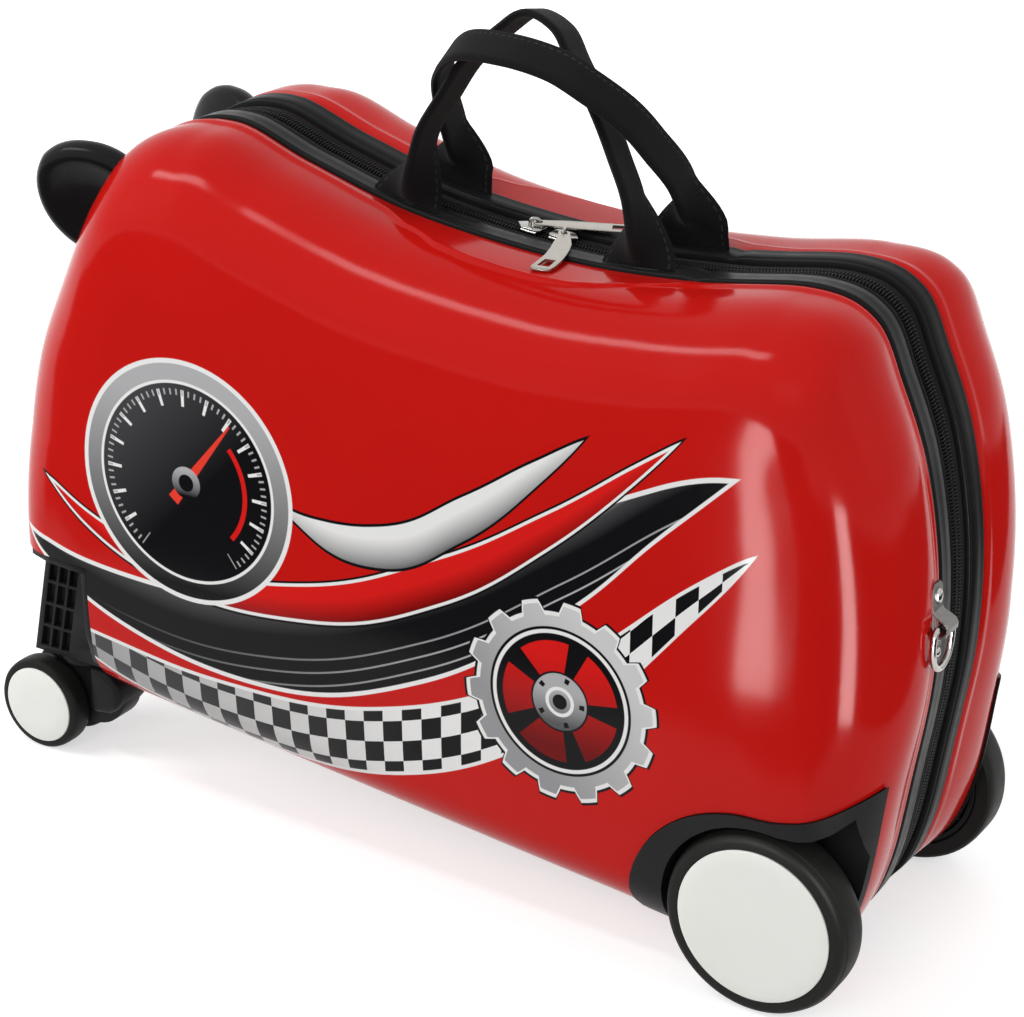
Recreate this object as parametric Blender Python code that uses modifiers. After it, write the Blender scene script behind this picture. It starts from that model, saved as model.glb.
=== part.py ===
"""Child's ride-on suitcase: two moulded half shells joined by a zip, two big fixed wheels,
two twin-wheel swivel casters, two horns to hold, two webbing loops and a tow ring.

The frame is in metres. X runs along the case, with the horns and casters at -X and the big
wheels at +X. Y runs through its thickness: the printed front half is at -Y. Z is up, and the
origin is on the ground, under the middle of the whole case.
"""

import math

import bmesh
import bpy
from mathutils import Matrix, Vector

COLLECTION = "kids_ride_on_suitcase"

# Clearance between touching pieces.
GAP = 0.0003

# Main sizes of the case without its wheels, horns and handles.
CASE_LENGTH = 0.4340
CASE_HEIGHT = 0.2995
CASE_LOW_Z = 0.0165
CASE_DEPTH = 0.1600
CASTER_END_X = -0.4551 * CASE_LENGTH
WHEEL_END_X = 0.5449 * CASE_LENGTH
FACE_Y = CASE_DEPTH / 2

# Side view of the case along the trim, as shares of its length and height, clockwise from the
# low point of the saddle.
SIDE_SHAPE = (
    (0.1567, 0.8881),
    (0.2949, 0.8965),
    (0.4101, 0.9182),
    (0.4666, 0.8932),
    (0.4954, 0.8164),
    (0.5242, 0.7095),
    (0.5426, 0.5626),
    (0.5449, 0.4124),
    (0.5323, 0.2621),
    (0.5161, 0.1185),
    (0.4908, 0.0334),
    (0.4447, 0.0000),
    (0.2650, 0.0200),
    (0.0000, 0.0571),
    (-0.2535, 0.0935),
    (-0.3456, 0.1102),
    (-0.4055, 0.1419),
    (-0.4412, 0.2187),
    (-0.4551, 0.3456),
    (-0.4516, 0.4958),
    (-0.4309, 0.6394),
    (-0.3940, 0.7629),
    (-0.3410, 0.9065),
    (-0.2926, 0.9800),
    (-0.2258, 1.0000),
    (-0.1406, 0.9599),
    (-0.0115, 0.9115),
)
SIDE_OUTLINE = tuple((CASE_LENGTH * u, CASE_LOW_Z + CASE_HEIGHT * v) for u, v in SIDE_SHAPE)
OUTLINE_STEPS = 48
SMOOTH_STEPS = 12
# Length that one radian of turn counts for, so that bends get more of the steps.
TURN_LENGTH = 0.06

# Half shell: its rounding, its bulge and its wall.
SIDE_ROUNDING = 0.0400
BOTTOM_ROUNDING = 0.0280
END_BULGE = 0.0045
FACE_CROWN = 0.0015
CROWN_INSET = 0.0300
ROUNDING_STEPS = 3
WALL = 0.0022
SPINE_CASTER_END = Vector((CASTER_END_X + 0.0975, CASE_LOW_Z + 0.5125 * CASE_HEIGHT))
SPINE_WHEEL_END = Vector((WHEEL_END_X - 0.1065, CASE_LOW_Z + 0.4457 * CASE_HEIGHT))

# Trim, zip tape and zip teeth, measured from the middle plane.
TRIM_OUTER_Y = 0.0223
TRIM_INNER_Y = 0.0056
TRIM_PROUD = 0.0016
TRIM_THICKNESS = 0.0028
RIM_END_Y = 0.0065
TAPE_INNER_Y = 0.0004
TAPE_DEPTH = 0.0015
TAPE_THICKNESS = 0.0012
TEETH_OUTER_Y = 0.0032
TEETH_INNER_Y = 0.0002
TEETH_HEIGHT = 0.0016
HINGE_STRIP_HALF_WIDTH = 0.0190
HINGE_STRIP_THICKNESS = 0.0008

# Lining of each half.
LINING_INSET = 0.0050
LINING_THICKNESS = 0.0008
LINING_EDGE_Y = 0.0260
LINING_ROUNDING_STEPS = 2
LINING_SKIP_STEPS = 2
LINING_CLEARANCE = 0.0010

# Big wheels.
WHEEL_X = WHEEL_END_X - 0.0433
WHEEL_RADIUS = 0.0409
WHEEL_OUTER_Y = FACE_Y + 0.0040
WHEEL_WIDTH = 0.0191
WHEEL_CAP_RADIUS = 0.0341
WHEEL_CAP_PROUD = 0.0006
WHEEL_CAP_THICKNESS = 0.0016
WHEEL_SHOULDER = 0.0040
WHEEL_TYRE_WALL = 0.0080
WHEEL_STEPS = 28
WHEEL_HUB_WEB = 0.0030
WHEEL_HUB_RIM = 0.0022
WHEEL_RIB_COUNT = 12
WHEEL_HUB_RIB_WIDTH = 0.0014
WHEEL_BOSS_RADIUS = 0.0085
AXLE_RADIUS = 0.0040
AXLE_HEAD_RADIUS = 0.0075
AXLE_HEAD_THICKNESS = 0.0030
AXLE_STEPS = 16

# Wheel housing.
HOUSING_BACK_Y = FACE_Y - 0.0235
HOUSING_PLATE = 0.0035
HOUSING_PROUD = 0.0015
WELL_CLEARANCE = 0.0026
WELL_ARC = (math.pi, math.radians(80))
WELL_ARC_STEPS = 10

# Casters.
CASTER_AXLE_X = CASTER_END_X - 0.0025
CASTER_TRAIL = 0.0180
CASTER_Y = FACE_Y - 0.0345
CASTER_WHEEL_RADIUS = 0.0230
CASTER_WHEEL_WIDTH = 0.0120
CASTER_CAP_RADIUS = 0.0190
CASTER_CAP_PROUD = 0.0005
CASTER_CAP_THICKNESS = 0.0014
CASTER_SHOULDER = 0.0028
CASTER_TYRE_WALL = 0.0055
CASTER_STEPS = 16
CASTER_HUB_WEB = 0.0022
CASTER_HUB_RIM = 0.0018
CASTER_BOSS_RADIUS = 0.0055
CASTER_FORK_WIDTH = 0.0124
CASTER_AXLE_RADIUS = 0.0022
CASTER_CROWN_RADIUS = 0.0125
CASTER_CROWN_HEIGHT = 0.0035
CASTER_STEM_RADIUS = 0.0040
CASTER_STEM_LOW_Z = CASTER_WHEEL_RADIUS + 0.0133
CASTER_STEM_HIGH_Z = CASTER_STEM_LOW_Z + 0.0357

# Caster bracket, set into a corner of the case.
BRACKET_BASE_Z = 2 * CASTER_WHEEL_RADIUS + 0.0040
BRACKET_TOP_Z = BRACKET_BASE_Z + 0.0640
BRACKET_NICHE_X = CASTER_END_X + 0.0475
BRACKET_BACK_Y = FACE_Y - 0.0500
BRACKET_WALL = 0.0030
BRACKET_PANEL_Y = FACE_Y - 0.0220
BRACKET_PANEL_THICKNESS = 0.0070
BRACKET_PANEL_WIDTH = 0.0230
BRACKET_PANEL_TOP_X = CASTER_END_X + 0.0060
BRACKET_PANEL_LEAN = 0.0130
BRACKET_POCKET_DEPTH = 0.0035
BRACKET_COLUMN_COUNT = 3
BRACKET_ROW_COUNT = 5
BRACKET_POCKET_RIB = 0.0014
BRACKET_RIM = 0.0022
BRACKET_CHAMFER = 0.0100
BRACKET_CAVITY_FLOOR = 0.0120
BRACKET_CAVITY_LOW_X = CASTER_END_X + 0.0315
BRACKET_CAVITY_BEND = (CASTER_END_X + 0.0175, BRACKET_BASE_Z + 0.0350)
BRACKET_RIVET_X = CASTER_END_X + 0.0305
BRACKET_RIVET_Z = BRACKET_BASE_Z + 0.0110

# Horns.
HORN_X = CASTER_END_X + 0.0365
HORN_Z = CASE_LOW_Z + 0.8681 * CASE_HEIGHT
HORN_Y = FACE_Y - 0.0315
HORN_RADIUS = 0.0300
HORN_THICKNESS = 0.0080
HORN_STEPS = 20
HORN_SCREW_RADIUS = 0.0020
HORN_SCREW_HEAD_RADIUS = 0.0042
HORN_SCREW_HEAD_THICKNESS = 0.0018
HORN_SCREW_REACH = 0.0060
HORN_SCREW_DEPTH = 0.0160
HORN_SPLAY = math.radians(22)
HORN_TILT = math.radians(38)

# Webbing loops.
LOOP_WIDTH = 0.0340
LOOP_THICKNESS = 0.0018
LOOP_FLAT_HEIGHT = 0.0060
LOOP_FOLD_HEIGHT = 0.0330
LOOP_STEPS = 24

# Zip sliders and pullers.
SLIDER_X = 0.0430
SLIDER_SPACING = 0.0165
SLIDER_LENGTH = 0.0130
SLIDER_WIDTH = 0.0090
SLIDER_THICKNESS = 0.0018
BRIDGE_HEIGHT = 0.0034
BRIDGE_WIRE = 0.0016
BRIDGE_LENGTH = 0.0054
BRIDGE_OFFSET = 0.0015
PULLER_LENGTH = 0.0420
PULLER_WIDTH = 0.0090
PULLER_THICKNESS = 0.0012
PULLER_EYE_WIDTH = 0.0050
PULLER_EYE_HOLE = 0.0028
PULLER_NECK_LENGTH = 0.0130
PULLER_SLOT = (0.0310, 0.0380, 0.0045)
PULLER_RIGHT_TURN = math.radians(-73)
PULLER_RIGHT_DROP = math.radians(2)
PULLER_LEFT_TURN = math.radians(26)
PULLER_LEFT_DROP = math.radians(-2.5)

# Tow ring on the big wheel end.
TOW_Z = CASE_LOW_Z + 0.5058 * CASE_HEIGHT
TOW_Y = 0.0310
TOW_PLATE_HEIGHT = 0.0350
TOW_PLATE_WIDTH = 0.0090
TOW_PLATE_THICKNESS = 0.0012
TOW_KNUCKLE_RADIUS = 0.0034
TOW_RING_CLEARANCE = 0.0014
TOW_RING_WIDTH = 0.0150
TOW_RING_HEIGHT = 0.0175
TOW_RING_WIRE = 0.0014
TOW_RING_STEPS = 20
TOW_RIVET_SPACING = 0.0250
RIVET_RADIUS = 0.0026
RIVET_HEIGHT = 0.0012
RIVET_SHANK_RADIUS = 0.0015
RIVET_REACH = 0.0100
RIVET_STEPS = 12

# Height of each point of a loop is counted from the trim under its feet.
FRONT_LOOP = (
    (-0.0040, -0.0180, -0.0080),
    (-0.0036, -0.0178, 0.0100),
    (0.0000, -0.0150, 0.0330),
    (0.0090, -0.0100, 0.0570),
    (0.0200, -0.0040, 0.0780),
    (0.0370, 0.0010, 0.0885),
    (0.0520, 0.0000, 0.0850),
    (0.0630, -0.0040, 0.0700),
    (0.0740, -0.0090, 0.0530),
    (0.0900, -0.0150, 0.0300),
    (0.1010, -0.0178, 0.0100),
    (0.1030, -0.0180, -0.0080),
)
BACK_LOOP = (
    (-0.0120, 0.0180, -0.0080),
    (-0.0118, 0.0170, 0.0100),
    (-0.0140, 0.0080, 0.0330),
    (-0.0130, -0.0060, 0.0550),
    (-0.0010, -0.0180, 0.0690),
    (0.0260, -0.0235, 0.0750),
    (0.0500, -0.0235, 0.0745),
    (0.0710, -0.0190, 0.0690),
    (0.0880, -0.0080, 0.0560),
    (0.0990, 0.0080, 0.0330),
    (0.1040, 0.0170, 0.0100),
    (0.1050, 0.0180, -0.0080),
)
FRONT_LOOP_LEAN = math.radians(11)
BACK_LOOP_LEAN = math.radians(-30)

# Outline of the wheel housing in the side view, from the wheel's axle, up to where it leaves
# the case.
HOUSING_SHAPE = (
    (-0.0452, -0.0509),
    (-0.0532, -0.0209),
    (-0.0587, -0.0089),
    (-0.0587, 0.0021),
    (-0.0547, 0.0151),
    (-0.0457, 0.0291),
    (-0.0312, 0.0406),
    (-0.0132, 0.0471),
    (0.0068, 0.0486),
    (0.0218, 0.0526),
    (0.0358, 0.0601),
    (0.0668, 0.0791),
    (0.0668, -0.0509),
)
HOUSING_OUTLINE = tuple((WHEEL_X + u, WHEEL_RADIUS + v) for u, v in HOUSING_SHAPE)
# Lower edge of the housing's lip to the right of the wheel, from its axle.
LIP_SHAPE = (
    (0.0248, 0.0466),
    (0.0428, 0.0551),
    (0.0768, 0.0741),
)
WELL_LIP = [(WHEEL_X + u, WHEEL_RADIUS + v) for u, v in LIP_SHAPE]

# Side of the caster's fork from the axle of its wheels, clockwise from the crown's inner corner.
FORK_SHAPE = (
    (0.0040, 0.0250),
    (0.0340, 0.0250),
    (0.0415, 0.0200),
    (0.0440, 0.0120),
    (0.0410, 0.0020),
    (0.0320, -0.0060),
    (0.0150, -0.0090),
    (0.0000, -0.0065),
    (-0.0060, -0.0025),
    (-0.0070, 0.0030),
    (-0.0040, 0.0100),
)
FORK_OUTLINE = tuple((CASTER_AXLE_X + u, CASTER_WHEEL_RADIUS + v) for u, v in FORK_SHAPE)


def clear_scene():
    for obj in list(bpy.data.objects):
        bpy.data.objects.remove(obj, do_unlink=True)


def make_collection(name):
    group = bpy.data.collections.new(name)
    bpy.context.scene.collection.children.link(group)
    return group


clear_scene()
PARTS = make_collection(COLLECTION)
CUTTERS = make_collection(COLLECTION + "_cutters")
CUTTERS.hide_render = True


def plastic(name, colour, roughness, metallic=0.0, coat=0.0):
    mat = bpy.data.materials.new(name)
    mat.use_nodes = True
    shader = mat.node_tree.nodes["Principled BSDF"]
    shader.inputs["Base Color"].default_value = (*colour, 1.0)
    shader.inputs["Roughness"].default_value = roughness
    shader.inputs["Metallic"].default_value = metallic
    shader.inputs["Coat Weight"].default_value = coat
    return mat


RED_SHELL = ((0.52, 0.008, 0.006), 0.14, 0.0, 1.0)
BLACK_TRIM = ((0.014, 0.015, 0.015), 0.32, 0.0, 0.0)
BLACK_GLOSS = ((0.010, 0.010, 0.011), 0.16, 0.0, 0.5)
BLACK_PLASTIC = ((0.013, 0.013, 0.014), 0.42, 0.0, 0.0)
WEBBING = ((0.011, 0.011, 0.012), 0.85, 0.0, 0.0)
ZIP_CLOTH = ((0.009, 0.009, 0.010), 0.90, 0.0, 0.0)
ZIP_COIL = ((0.012, 0.012, 0.013), 0.55, 0.0, 0.0)
LINING_CLOTH = ((0.045, 0.047, 0.052), 0.80, 0.0, 0.0)
TYRE_RUBBER = ((0.018, 0.018, 0.017), 0.50, 0.0, 0.0)
WHITE_CAP = ((0.80, 0.81, 0.76), 0.35, 0.0, 0.0)
STEEL = ((0.55, 0.54, 0.52), 0.30, 1.0, 0.0)
CHROME = ((0.72, 0.70, 0.66), 0.12, 1.0, 0.0)


def finish(name, obj, look, angle=35):
    """Names a piece, gives it its own material and smooths its round faces."""
    obj.name = name
    obj.data.name = name
    obj.data.materials.clear()
    obj.data.materials.append(plastic(name + "_finish", *look))
    if obj.type == "MESH":
        obj.data.shade_smooth()
        obj.data.set_sharp_from_angle(angle=math.radians(angle))
    return obj


def new_object(mesh, location=(0.0, 0.0, 0.0)):
    obj = bpy.data.objects.new(mesh.name, mesh)
    obj.location = location
    PARTS.objects.link(obj)
    return obj


def closed_mesh(name, points, faces):
    """A closed mesh of these faces, with its normals facing out."""
    bm = bmesh.new()
    verts = [bm.verts.new(p) for p in points]
    for face in faces:
        bm.faces.new([verts[i] for i in face])
    bmesh.ops.recalc_face_normals(bm, faces=bm.faces)
    mesh = bpy.data.meshes.new(name)
    bm.to_mesh(mesh)
    bm.free()
    return mesh


def ring_faces(count, rings, closed=False, start=0):
    """Quads between rings of count points, where closed joins the last ring to the first."""
    faces = []
    for r in range(rings if closed else rings - 1):
        low = start + r * count
        high = start + ((r + 1) % rings) * count
        for i in range(count):
            j = (i + 1) % count
            faces.append((low + i, low + j, high + j, high + i))
    return faces


def prism(name, outline, low, high, along="Y"):
    """A flat outline of (x, z) pairs extruded from y low to y high, or of (y, z) pairs along X."""
    count = len(outline)
    points = []
    for depth in (low, high):
        points += [(a, depth, b) if along == "Y" else (depth, a, b) for a, b in outline]
    faces = ring_faces(count, 2)
    faces += [tuple(range(count)), tuple(range(count, 2 * count))]
    return new_object(closed_mesh(name, points, faces))


def cylinder(name, start, end, radius, segments=24):
    """A round bar from start to end."""
    start, end = Vector(start), Vector(end)
    along = end - start
    bm = bmesh.new()
    bmesh.ops.create_cone(
        bm, cap_ends=True, segments=segments, radius1=radius, radius2=radius, depth=along.length
    )
    turn = along.to_track_quat("Z", "Y").to_matrix().to_4x4()
    bm.transform(Matrix.Translation((start + end) / 2) @ turn)
    mesh = bpy.data.meshes.new(name)
    bm.to_mesh(mesh)
    bm.free()
    return new_object(mesh)


def boolean(target, operation, other):
    modifier = target.modifiers.new(f"{operation.lower()} {other.name}", "BOOLEAN")
    modifier.operation = operation
    modifier.object = other


def as_cutter(obj):
    """Makes a helper shape one that neither the render nor the build takes in."""
    for group in list(obj.users_collection):
        group.objects.unlink(obj)
    CUTTERS.objects.link(obj)
    obj.hide_render = True
    obj.display_type = "WIRE"
    return obj


def cut(target, *cutters):
    for cutter in cutters:
        boolean(target, "DIFFERENCE", as_cutter(cutter))


def join(target, *others):
    for other in others:
        boolean(target, "UNION", as_cutter(other))


def mirrored(source, name, plane_y=0.0):
    """A copy of a finished piece on the other side of the plane y = plane_y."""
    bpy.context.view_layer.update()
    graph = bpy.context.evaluated_depsgraph_get()
    mesh = bpy.data.meshes.new_from_object(source.evaluated_get(graph), depsgraph=graph)
    mesh.transform(source.matrix_world)
    across = Matrix.Translation((0, 2 * plane_y, 0)) @ Matrix.Scale(-1, 4, (0, 1, 0))
    origin = across @ source.matrix_world.translation
    mesh.transform(Matrix.Translation(-origin) @ across)
    mesh.flip_normals()
    obj = new_object(mesh, origin)
    obj.name = name
    mesh.name = name
    look = mesh.materials[0].copy()
    look.name = name + "_finish"
    mesh.materials[0] = look
    return obj


def smooth_path(points, closed, count):
    """Points at even steps along a smooth curve through the given ones."""
    points = [Vector(p) for p in points]
    total = len(points)
    fine = []
    for i in range(total if closed else total - 1):
        if closed:
            a, b, c, d = (points[(i + k) % total] for k in (-1, 0, 1, 2))
        else:
            b, c = points[i], points[i + 1]
            a = points[i - 1] if i else b + (b - c)
            d = points[i + 2] if i + 2 < total else c + (c - b)
        for step in range(SMOOTH_STEPS):
            t = step / SMOOTH_STEPS
            fine.append(
                0.5
                * (
                    2 * b
                    + (c - a) * t
                    + (2 * a - 5 * b + 4 * c - d) * t * t
                    + (3 * b - 3 * c + d - a) * t**3
                )
            )
    fine.append(points[0].copy() if closed else points[-1].copy())
    lengths = [0.0]
    for k in range(1, len(fine)):
        step = fine[k] - fine[k - 1]
        before = fine[k - 1] - fine[k - 2] if k > 1 else step
        lengths.append(lengths[-1] + step.length + TURN_LENGTH * step.angle(before, 0.0))
    steps = count if closed else count - 1
    path, k = [], 0
    for i in range(count):
        goal = lengths[-1] * i / steps
        while k < len(fine) - 2 and lengths[k + 1] < goal:
            k += 1
        share = (goal - lengths[k]) / max(lengths[k + 1] - lengths[k], 1e-9)
        path.append(fine[k].lerp(fine[k + 1], min(share, 1.0)))
    return path


SIDE = smooth_path(SIDE_OUTLINE, True, OUTLINE_STEPS)


def side_normals():
    """Outward directions of the side outline, which runs clockwise."""
    normals = []
    for i in range(OUTLINE_STEPS):
        along = SIDE[(i + 1) % OUTLINE_STEPS] - SIDE[i - 1]
        normals.append(Vector((-along.y, along.x)).normalized())
    return normals


NORMALS = side_normals()


def inward(point):
    """Direction from the outline towards the spine, along which the face draws in."""
    along = SPINE_WHEEL_END - SPINE_CASTER_END
    share = (point - SPINE_CASTER_END).dot(along) / along.length_squared
    nearest = SPINE_CASTER_END + along * min(max(share, 0.0), 1.0)
    return (nearest - point).normalized()


def top_at(x):
    """Height of the case's top line at x."""
    return max(crossings(x, 0))


def bottom_at(x):
    return min(crossings(x, 0))


def wheel_end_at(z):
    return max(crossings(z, 1))


def crossings(value, axis):
    """Where the side outline crosses a line of constant x (axis 0) or z (axis 1)."""
    found = []
    for a, b in zip(SIDE, SIDE[1:] + SIDE[:1]):
        if (a[axis] - value) * (b[axis] - value) <= 0 and a[axis] != b[axis]:
            found.append(a.lerp(b, (value - a[axis]) / (b[axis] - a[axis]))[1 - axis])
    return found


def ring_at(offset, y):
    """The side outline moved out by offset, at one depth."""
    return [(p.x + n.x * offset, y, p.y + n.y * offset) for p, n in zip(SIDE, NORMALS)]


def half_rings(inset=0.0, steps=ROUNDING_STEPS, edge_y=TRIM_OUTER_Y + GAP, skip=1):
    """Rings of the front half's form, drawn in by inset, from the trim's edge to mid face."""
    rings = [ring_at(-inset, -edge_y)[::skip]]
    face_y = FACE_Y - inset
    turns = [math.pi / 2 * i / steps for i in range(steps + 1)]
    middle, bulged = [], [[] for _ in turns]
    crown = []
    for p, n in zip(SIDE[::skip], NORMALS[::skip]):
        towards = inward(p)
        rounding = SIDE_ROUNDING + (BOTTOM_ROUNDING - SIDE_ROUNDING) * max(towards.y, 0.0)
        rounding -= inset
        swell = END_BULGE * abs(n.x)
        edge = p + n * (swell - inset)
        start_y = face_y - rounding
        half = p + n * (swell * 0.75 - inset)
        middle.append((half.x, -(edge_y + start_y) / 2, half.y))
        for ring, turn in zip(bulged, turns):
            flat = edge + towards * rounding * (1 - math.cos(turn))
            ring.append((flat.x, -start_y - rounding * math.sin(turn), flat.y))
        inner = edge + towards * (rounding + inset + CROWN_INSET)
        crown.append((inner.x, -face_y - FACE_CROWN, inner.y))
    return rings + [middle] + bulged + [crown]


def half_form(name, grow):
    """The front half as one closed solid, grown by some margin, for cutting what seats on it."""
    rings = [ring_at(grow, -RIM_END_Y)] + half_rings(-grow)
    points = [p for ring in rings for p in ring]
    faces = ring_faces(OUTLINE_STEPS, len(rings))
    faces.append(tuple(range(OUTLINE_STEPS)))
    faces.append(tuple(range(len(points) - OUTLINE_STEPS, len(points))))
    return as_cutter(new_object(closed_mesh(name, points, faces)))


def open_shell(name, rings, thickness):
    """An open bowl through these rings, closed at its last one, with a wall inside it."""
    points = [p for ring in rings for p in ring]
    count = len(rings[0])
    faces = ring_faces(count, len(rings))
    faces.append(tuple(range(len(points) - count, len(points))))
    mesh = closed_mesh(name, points, faces)
    if mesh.polygons[len(faces) - 1].normal.y > 0:
        mesh.flip_normals()
    obj = new_object(mesh)
    wall = obj.modifiers.new("wall", "SOLIDIFY")
    wall.thickness = thickness
    wall.offset = -1
    wall.use_even_offset = True
    return obj


def band(name, section, first=0, last=OUTLINE_STEPS):
    """A strip round the case with a section of (y, offset) pairs. A part of a turn has ends."""
    whole = last - first >= OUTLINE_STEPS
    stations = range(first, last if whole else last + 1)
    points = []
    for i in stations:
        p, n = SIDE[i % OUTLINE_STEPS], NORMALS[i % OUTLINE_STEPS]
        points += [(p.x + n.x * out, y, p.y + n.y * out) for y, out in section]
    faces = ring_faces(len(section), len(stations), closed=whole)
    if not whole:
        faces.append(tuple(range(len(section))))
        faces.append(tuple(range(len(points) - len(section), len(points))))
    return new_object(closed_mesh(name, points, faces))


def turned(name, profile, centre, steps, look, closed=False, turn=None):
    """A profile of (radius, height) pairs turned about an axis, which is -Y if no turn is given."""
    mesh = bpy.data.meshes.new(name)
    edges = [(i, i + 1) for i in range(len(profile) - 1)]
    if closed:
        edges.append((len(profile) - 1, 0))
    mesh.from_pydata([(r, 0.0, h) for r, h in profile], edges, [])
    obj = new_object(mesh, centre)
    obj.rotation_euler = turn or (math.pi / 2, 0.0, 0.0)
    screw = obj.modifiers.new("turn", "SCREW")
    screw.steps = steps
    screw.render_steps = steps
    screw.use_merge_vertices = True
    screw.merge_threshold = 0.00001
    screw.use_smooth_shade = True
    return finish(name, obj, look)


def grown(outline, amount):
    """A closed outline of pairs moved outwards by amount, whichever way it runs."""
    points = [Vector(p) for p in outline]
    area = sum(a.cross(b) for a, b in zip(points, points[1:] + points[:1]))
    side = 1 if area > 0 else -1
    moved = []
    for i, p in enumerate(points):
        before = (p - points[i - 1]).normalized()
        after = (points[(i + 1) % len(points)] - p).normalized()
        out_before = Vector((before.y, -before.x)) * side
        out_after = Vector((after.y, -after.x)) * side
        bisector = (out_before + out_after).normalized()
        moved.append(tuple(p + bisector * amount / max(bisector.dot(out_after), 0.5)))
    return moved


def rectangle(low, high):
    return ((low[0], low[1]), (high[0], low[1]), (high[0], high[1]), (low[0], high[1]))


FORMS = {}


def form(grow):
    """The front half's solid, grown by some margin, made once for each margin."""
    key = round(grow, 5)
    if key not in FORMS:
        FORMS[key] = half_form(f"front_form_{len(FORMS)}", grow)
    return FORMS[key]


def keep_layer(obj, low, high):
    """Keeps what lies between two offsets of the front half's surface."""
    boolean(obj, "INTERSECT", form(high))
    boolean(obj, "DIFFERENCE", form(low))


# Planes well clear of the case, for the ends of cutters.
FAR_X = -0.30
FAR_Y = 0.12
LOW_Z = -0.05
RIM_INSET = TRIM_THICKNESS - TRIM_PROUD + GAP
NICHE_OUTLINE = rectangle((FAR_X, LOW_Z), (BRACKET_NICHE_X, BRACKET_TOP_Z))


def make_shell():
    rims = [ring_at(-RIM_INSET, -RIM_END_Y), ring_at(-RIM_INSET, -TRIM_OUTER_Y - GAP)]
    shell = open_shell("front_shell", rims + half_rings(), WALL)
    cut(
        shell,
        prism("shell_housing_hole", grown(HOUSING_OUTLINE, GAP), -FAR_Y, -HOUSING_BACK_Y + GAP),
        prism("shell_bracket_hole", NICHE_OUTLINE, -FAR_Y, -BRACKET_BACK_Y + GAP),
    )
    return finish("front_shell", shell, RED_SHELL)


def make_lining():
    rings = half_rings(LINING_INSET, LINING_ROUNDING_STEPS, LINING_EDGE_Y, LINING_SKIP_STEPS)
    lining = open_shell("front_lining", rings, LINING_THICKNESS)
    housing = grown(HOUSING_OUTLINE, LINING_CLEARANCE)
    niche = grown(NICHE_OUTLINE, LINING_CLEARANCE)
    head_y = HOUSING_BACK_Y - AXLE_HEAD_THICKNESS - LINING_CLEARANCE
    cut(
        lining,
        prism("lining_housing_hole", housing, -FAR_Y, -head_y),
        prism("lining_bracket_hole", niche, -FAR_Y, -BRACKET_BACK_Y + LINING_CLEARANCE),
    )
    return finish("front_lining", lining, LINING_CLOTH)


def bottom_steps():
    """First and last step of the outline's flat underside."""
    flat = [i for i, n in enumerate(NORMALS) if n.y < -0.97]
    return flat[0], flat[-1]


def make_trim():
    chamfer = TRIM_PROUD / 2
    inner = TRIM_PROUD - TRIM_THICKNESS
    section = (
        (-TRIM_OUTER_Y, inner),
        (-TRIM_OUTER_Y, TRIM_PROUD - chamfer),
        (-TRIM_OUTER_Y + chamfer, TRIM_PROUD),
        (-TRIM_INNER_Y - chamfer, TRIM_PROUD),
        (-TRIM_INNER_Y, TRIM_PROUD - chamfer),
        (-TRIM_INNER_Y, inner),
    )
    return finish("front_trim", band("front_trim", section), BLACK_TRIM)


def make_zip():
    """Tape and teeth of the front half, which end where the hinge strip takes over."""
    wheel_end, caster_end = bottom_steps()
    tape = rectangle((-RIM_END_Y + GAP, -TAPE_DEPTH - TAPE_THICKNESS), (-TAPE_INNER_Y, -TAPE_DEPTH))
    low = -TAPE_DEPTH + GAP
    teeth = rectangle((-TEETH_OUTER_Y, low), (-TEETH_INNER_Y, low + TEETH_HEIGHT))
    turn = (caster_end, wheel_end + OUTLINE_STEPS)
    return [
        finish("front_zip_tape", band("front_zip_tape", tape, *turn), ZIP_CLOTH),
        finish("front_zip_teeth", band("front_zip_teeth", teeth, *turn), ZIP_COIL),
    ]


def make_hinge_strip():
    wheel_end, caster_end = bottom_steps()
    high = -RIM_INSET - WALL - GAP
    low = high - HINGE_STRIP_THICKNESS
    section = rectangle((-HINGE_STRIP_HALF_WIDTH, low), (HINGE_STRIP_HALF_WIDTH, high))
    strip = band("hinge_strip", section, wheel_end, caster_end)
    return finish("hinge_strip", strip, ZIP_CLOTH)


def make_wheel_housing():
    hub = (WHEEL_X, WHEEL_RADIUS)
    housing = prism("front_wheel_housing", HOUSING_OUTLINE, -FAR_Y, -HOUSING_BACK_Y)
    boolean(housing, "INTERSECT", form(HOUSING_PROUD))
    radius = WHEEL_RADIUS + WELL_CLEARANCE
    start, end = WELL_ARC
    well = [(hub[0] - radius, LOW_Z)]
    for step in range(WELL_ARC_STEPS + 1):
        angle = start + (end - start) * step / WELL_ARC_STEPS
        well.append((hub[0] + radius * math.cos(angle), hub[1] + radius * math.sin(angle)))
    well += [*WELL_LIP, (WELL_LIP[-1][0], LOW_Z)]
    plate_y = HOUSING_BACK_Y + HOUSING_PLATE
    cut(housing, prism("housing_well", well, -FAR_Y, -plate_y))
    wheel_y = WHEEL_OUTER_Y - WHEEL_WIDTH - GAP
    boss_start = (hub[0], -plate_y + HOUSING_PLATE / 2, hub[1])
    boss_end = (hub[0], -wheel_y, hub[1])
    join(housing, cylinder("housing_boss", boss_start, boss_end, WHEEL_BOSS_RADIUS))
    bore_start, bore_end = (hub[0], 0.0, hub[1]), (hub[0], -FAR_Y, hub[1])
    cut(housing, cylinder("housing_bore", bore_start, bore_end, AXLE_RADIUS + GAP, AXLE_STEPS))
    return finish("front_wheel_housing", housing, BLACK_PLASTIC)


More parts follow.
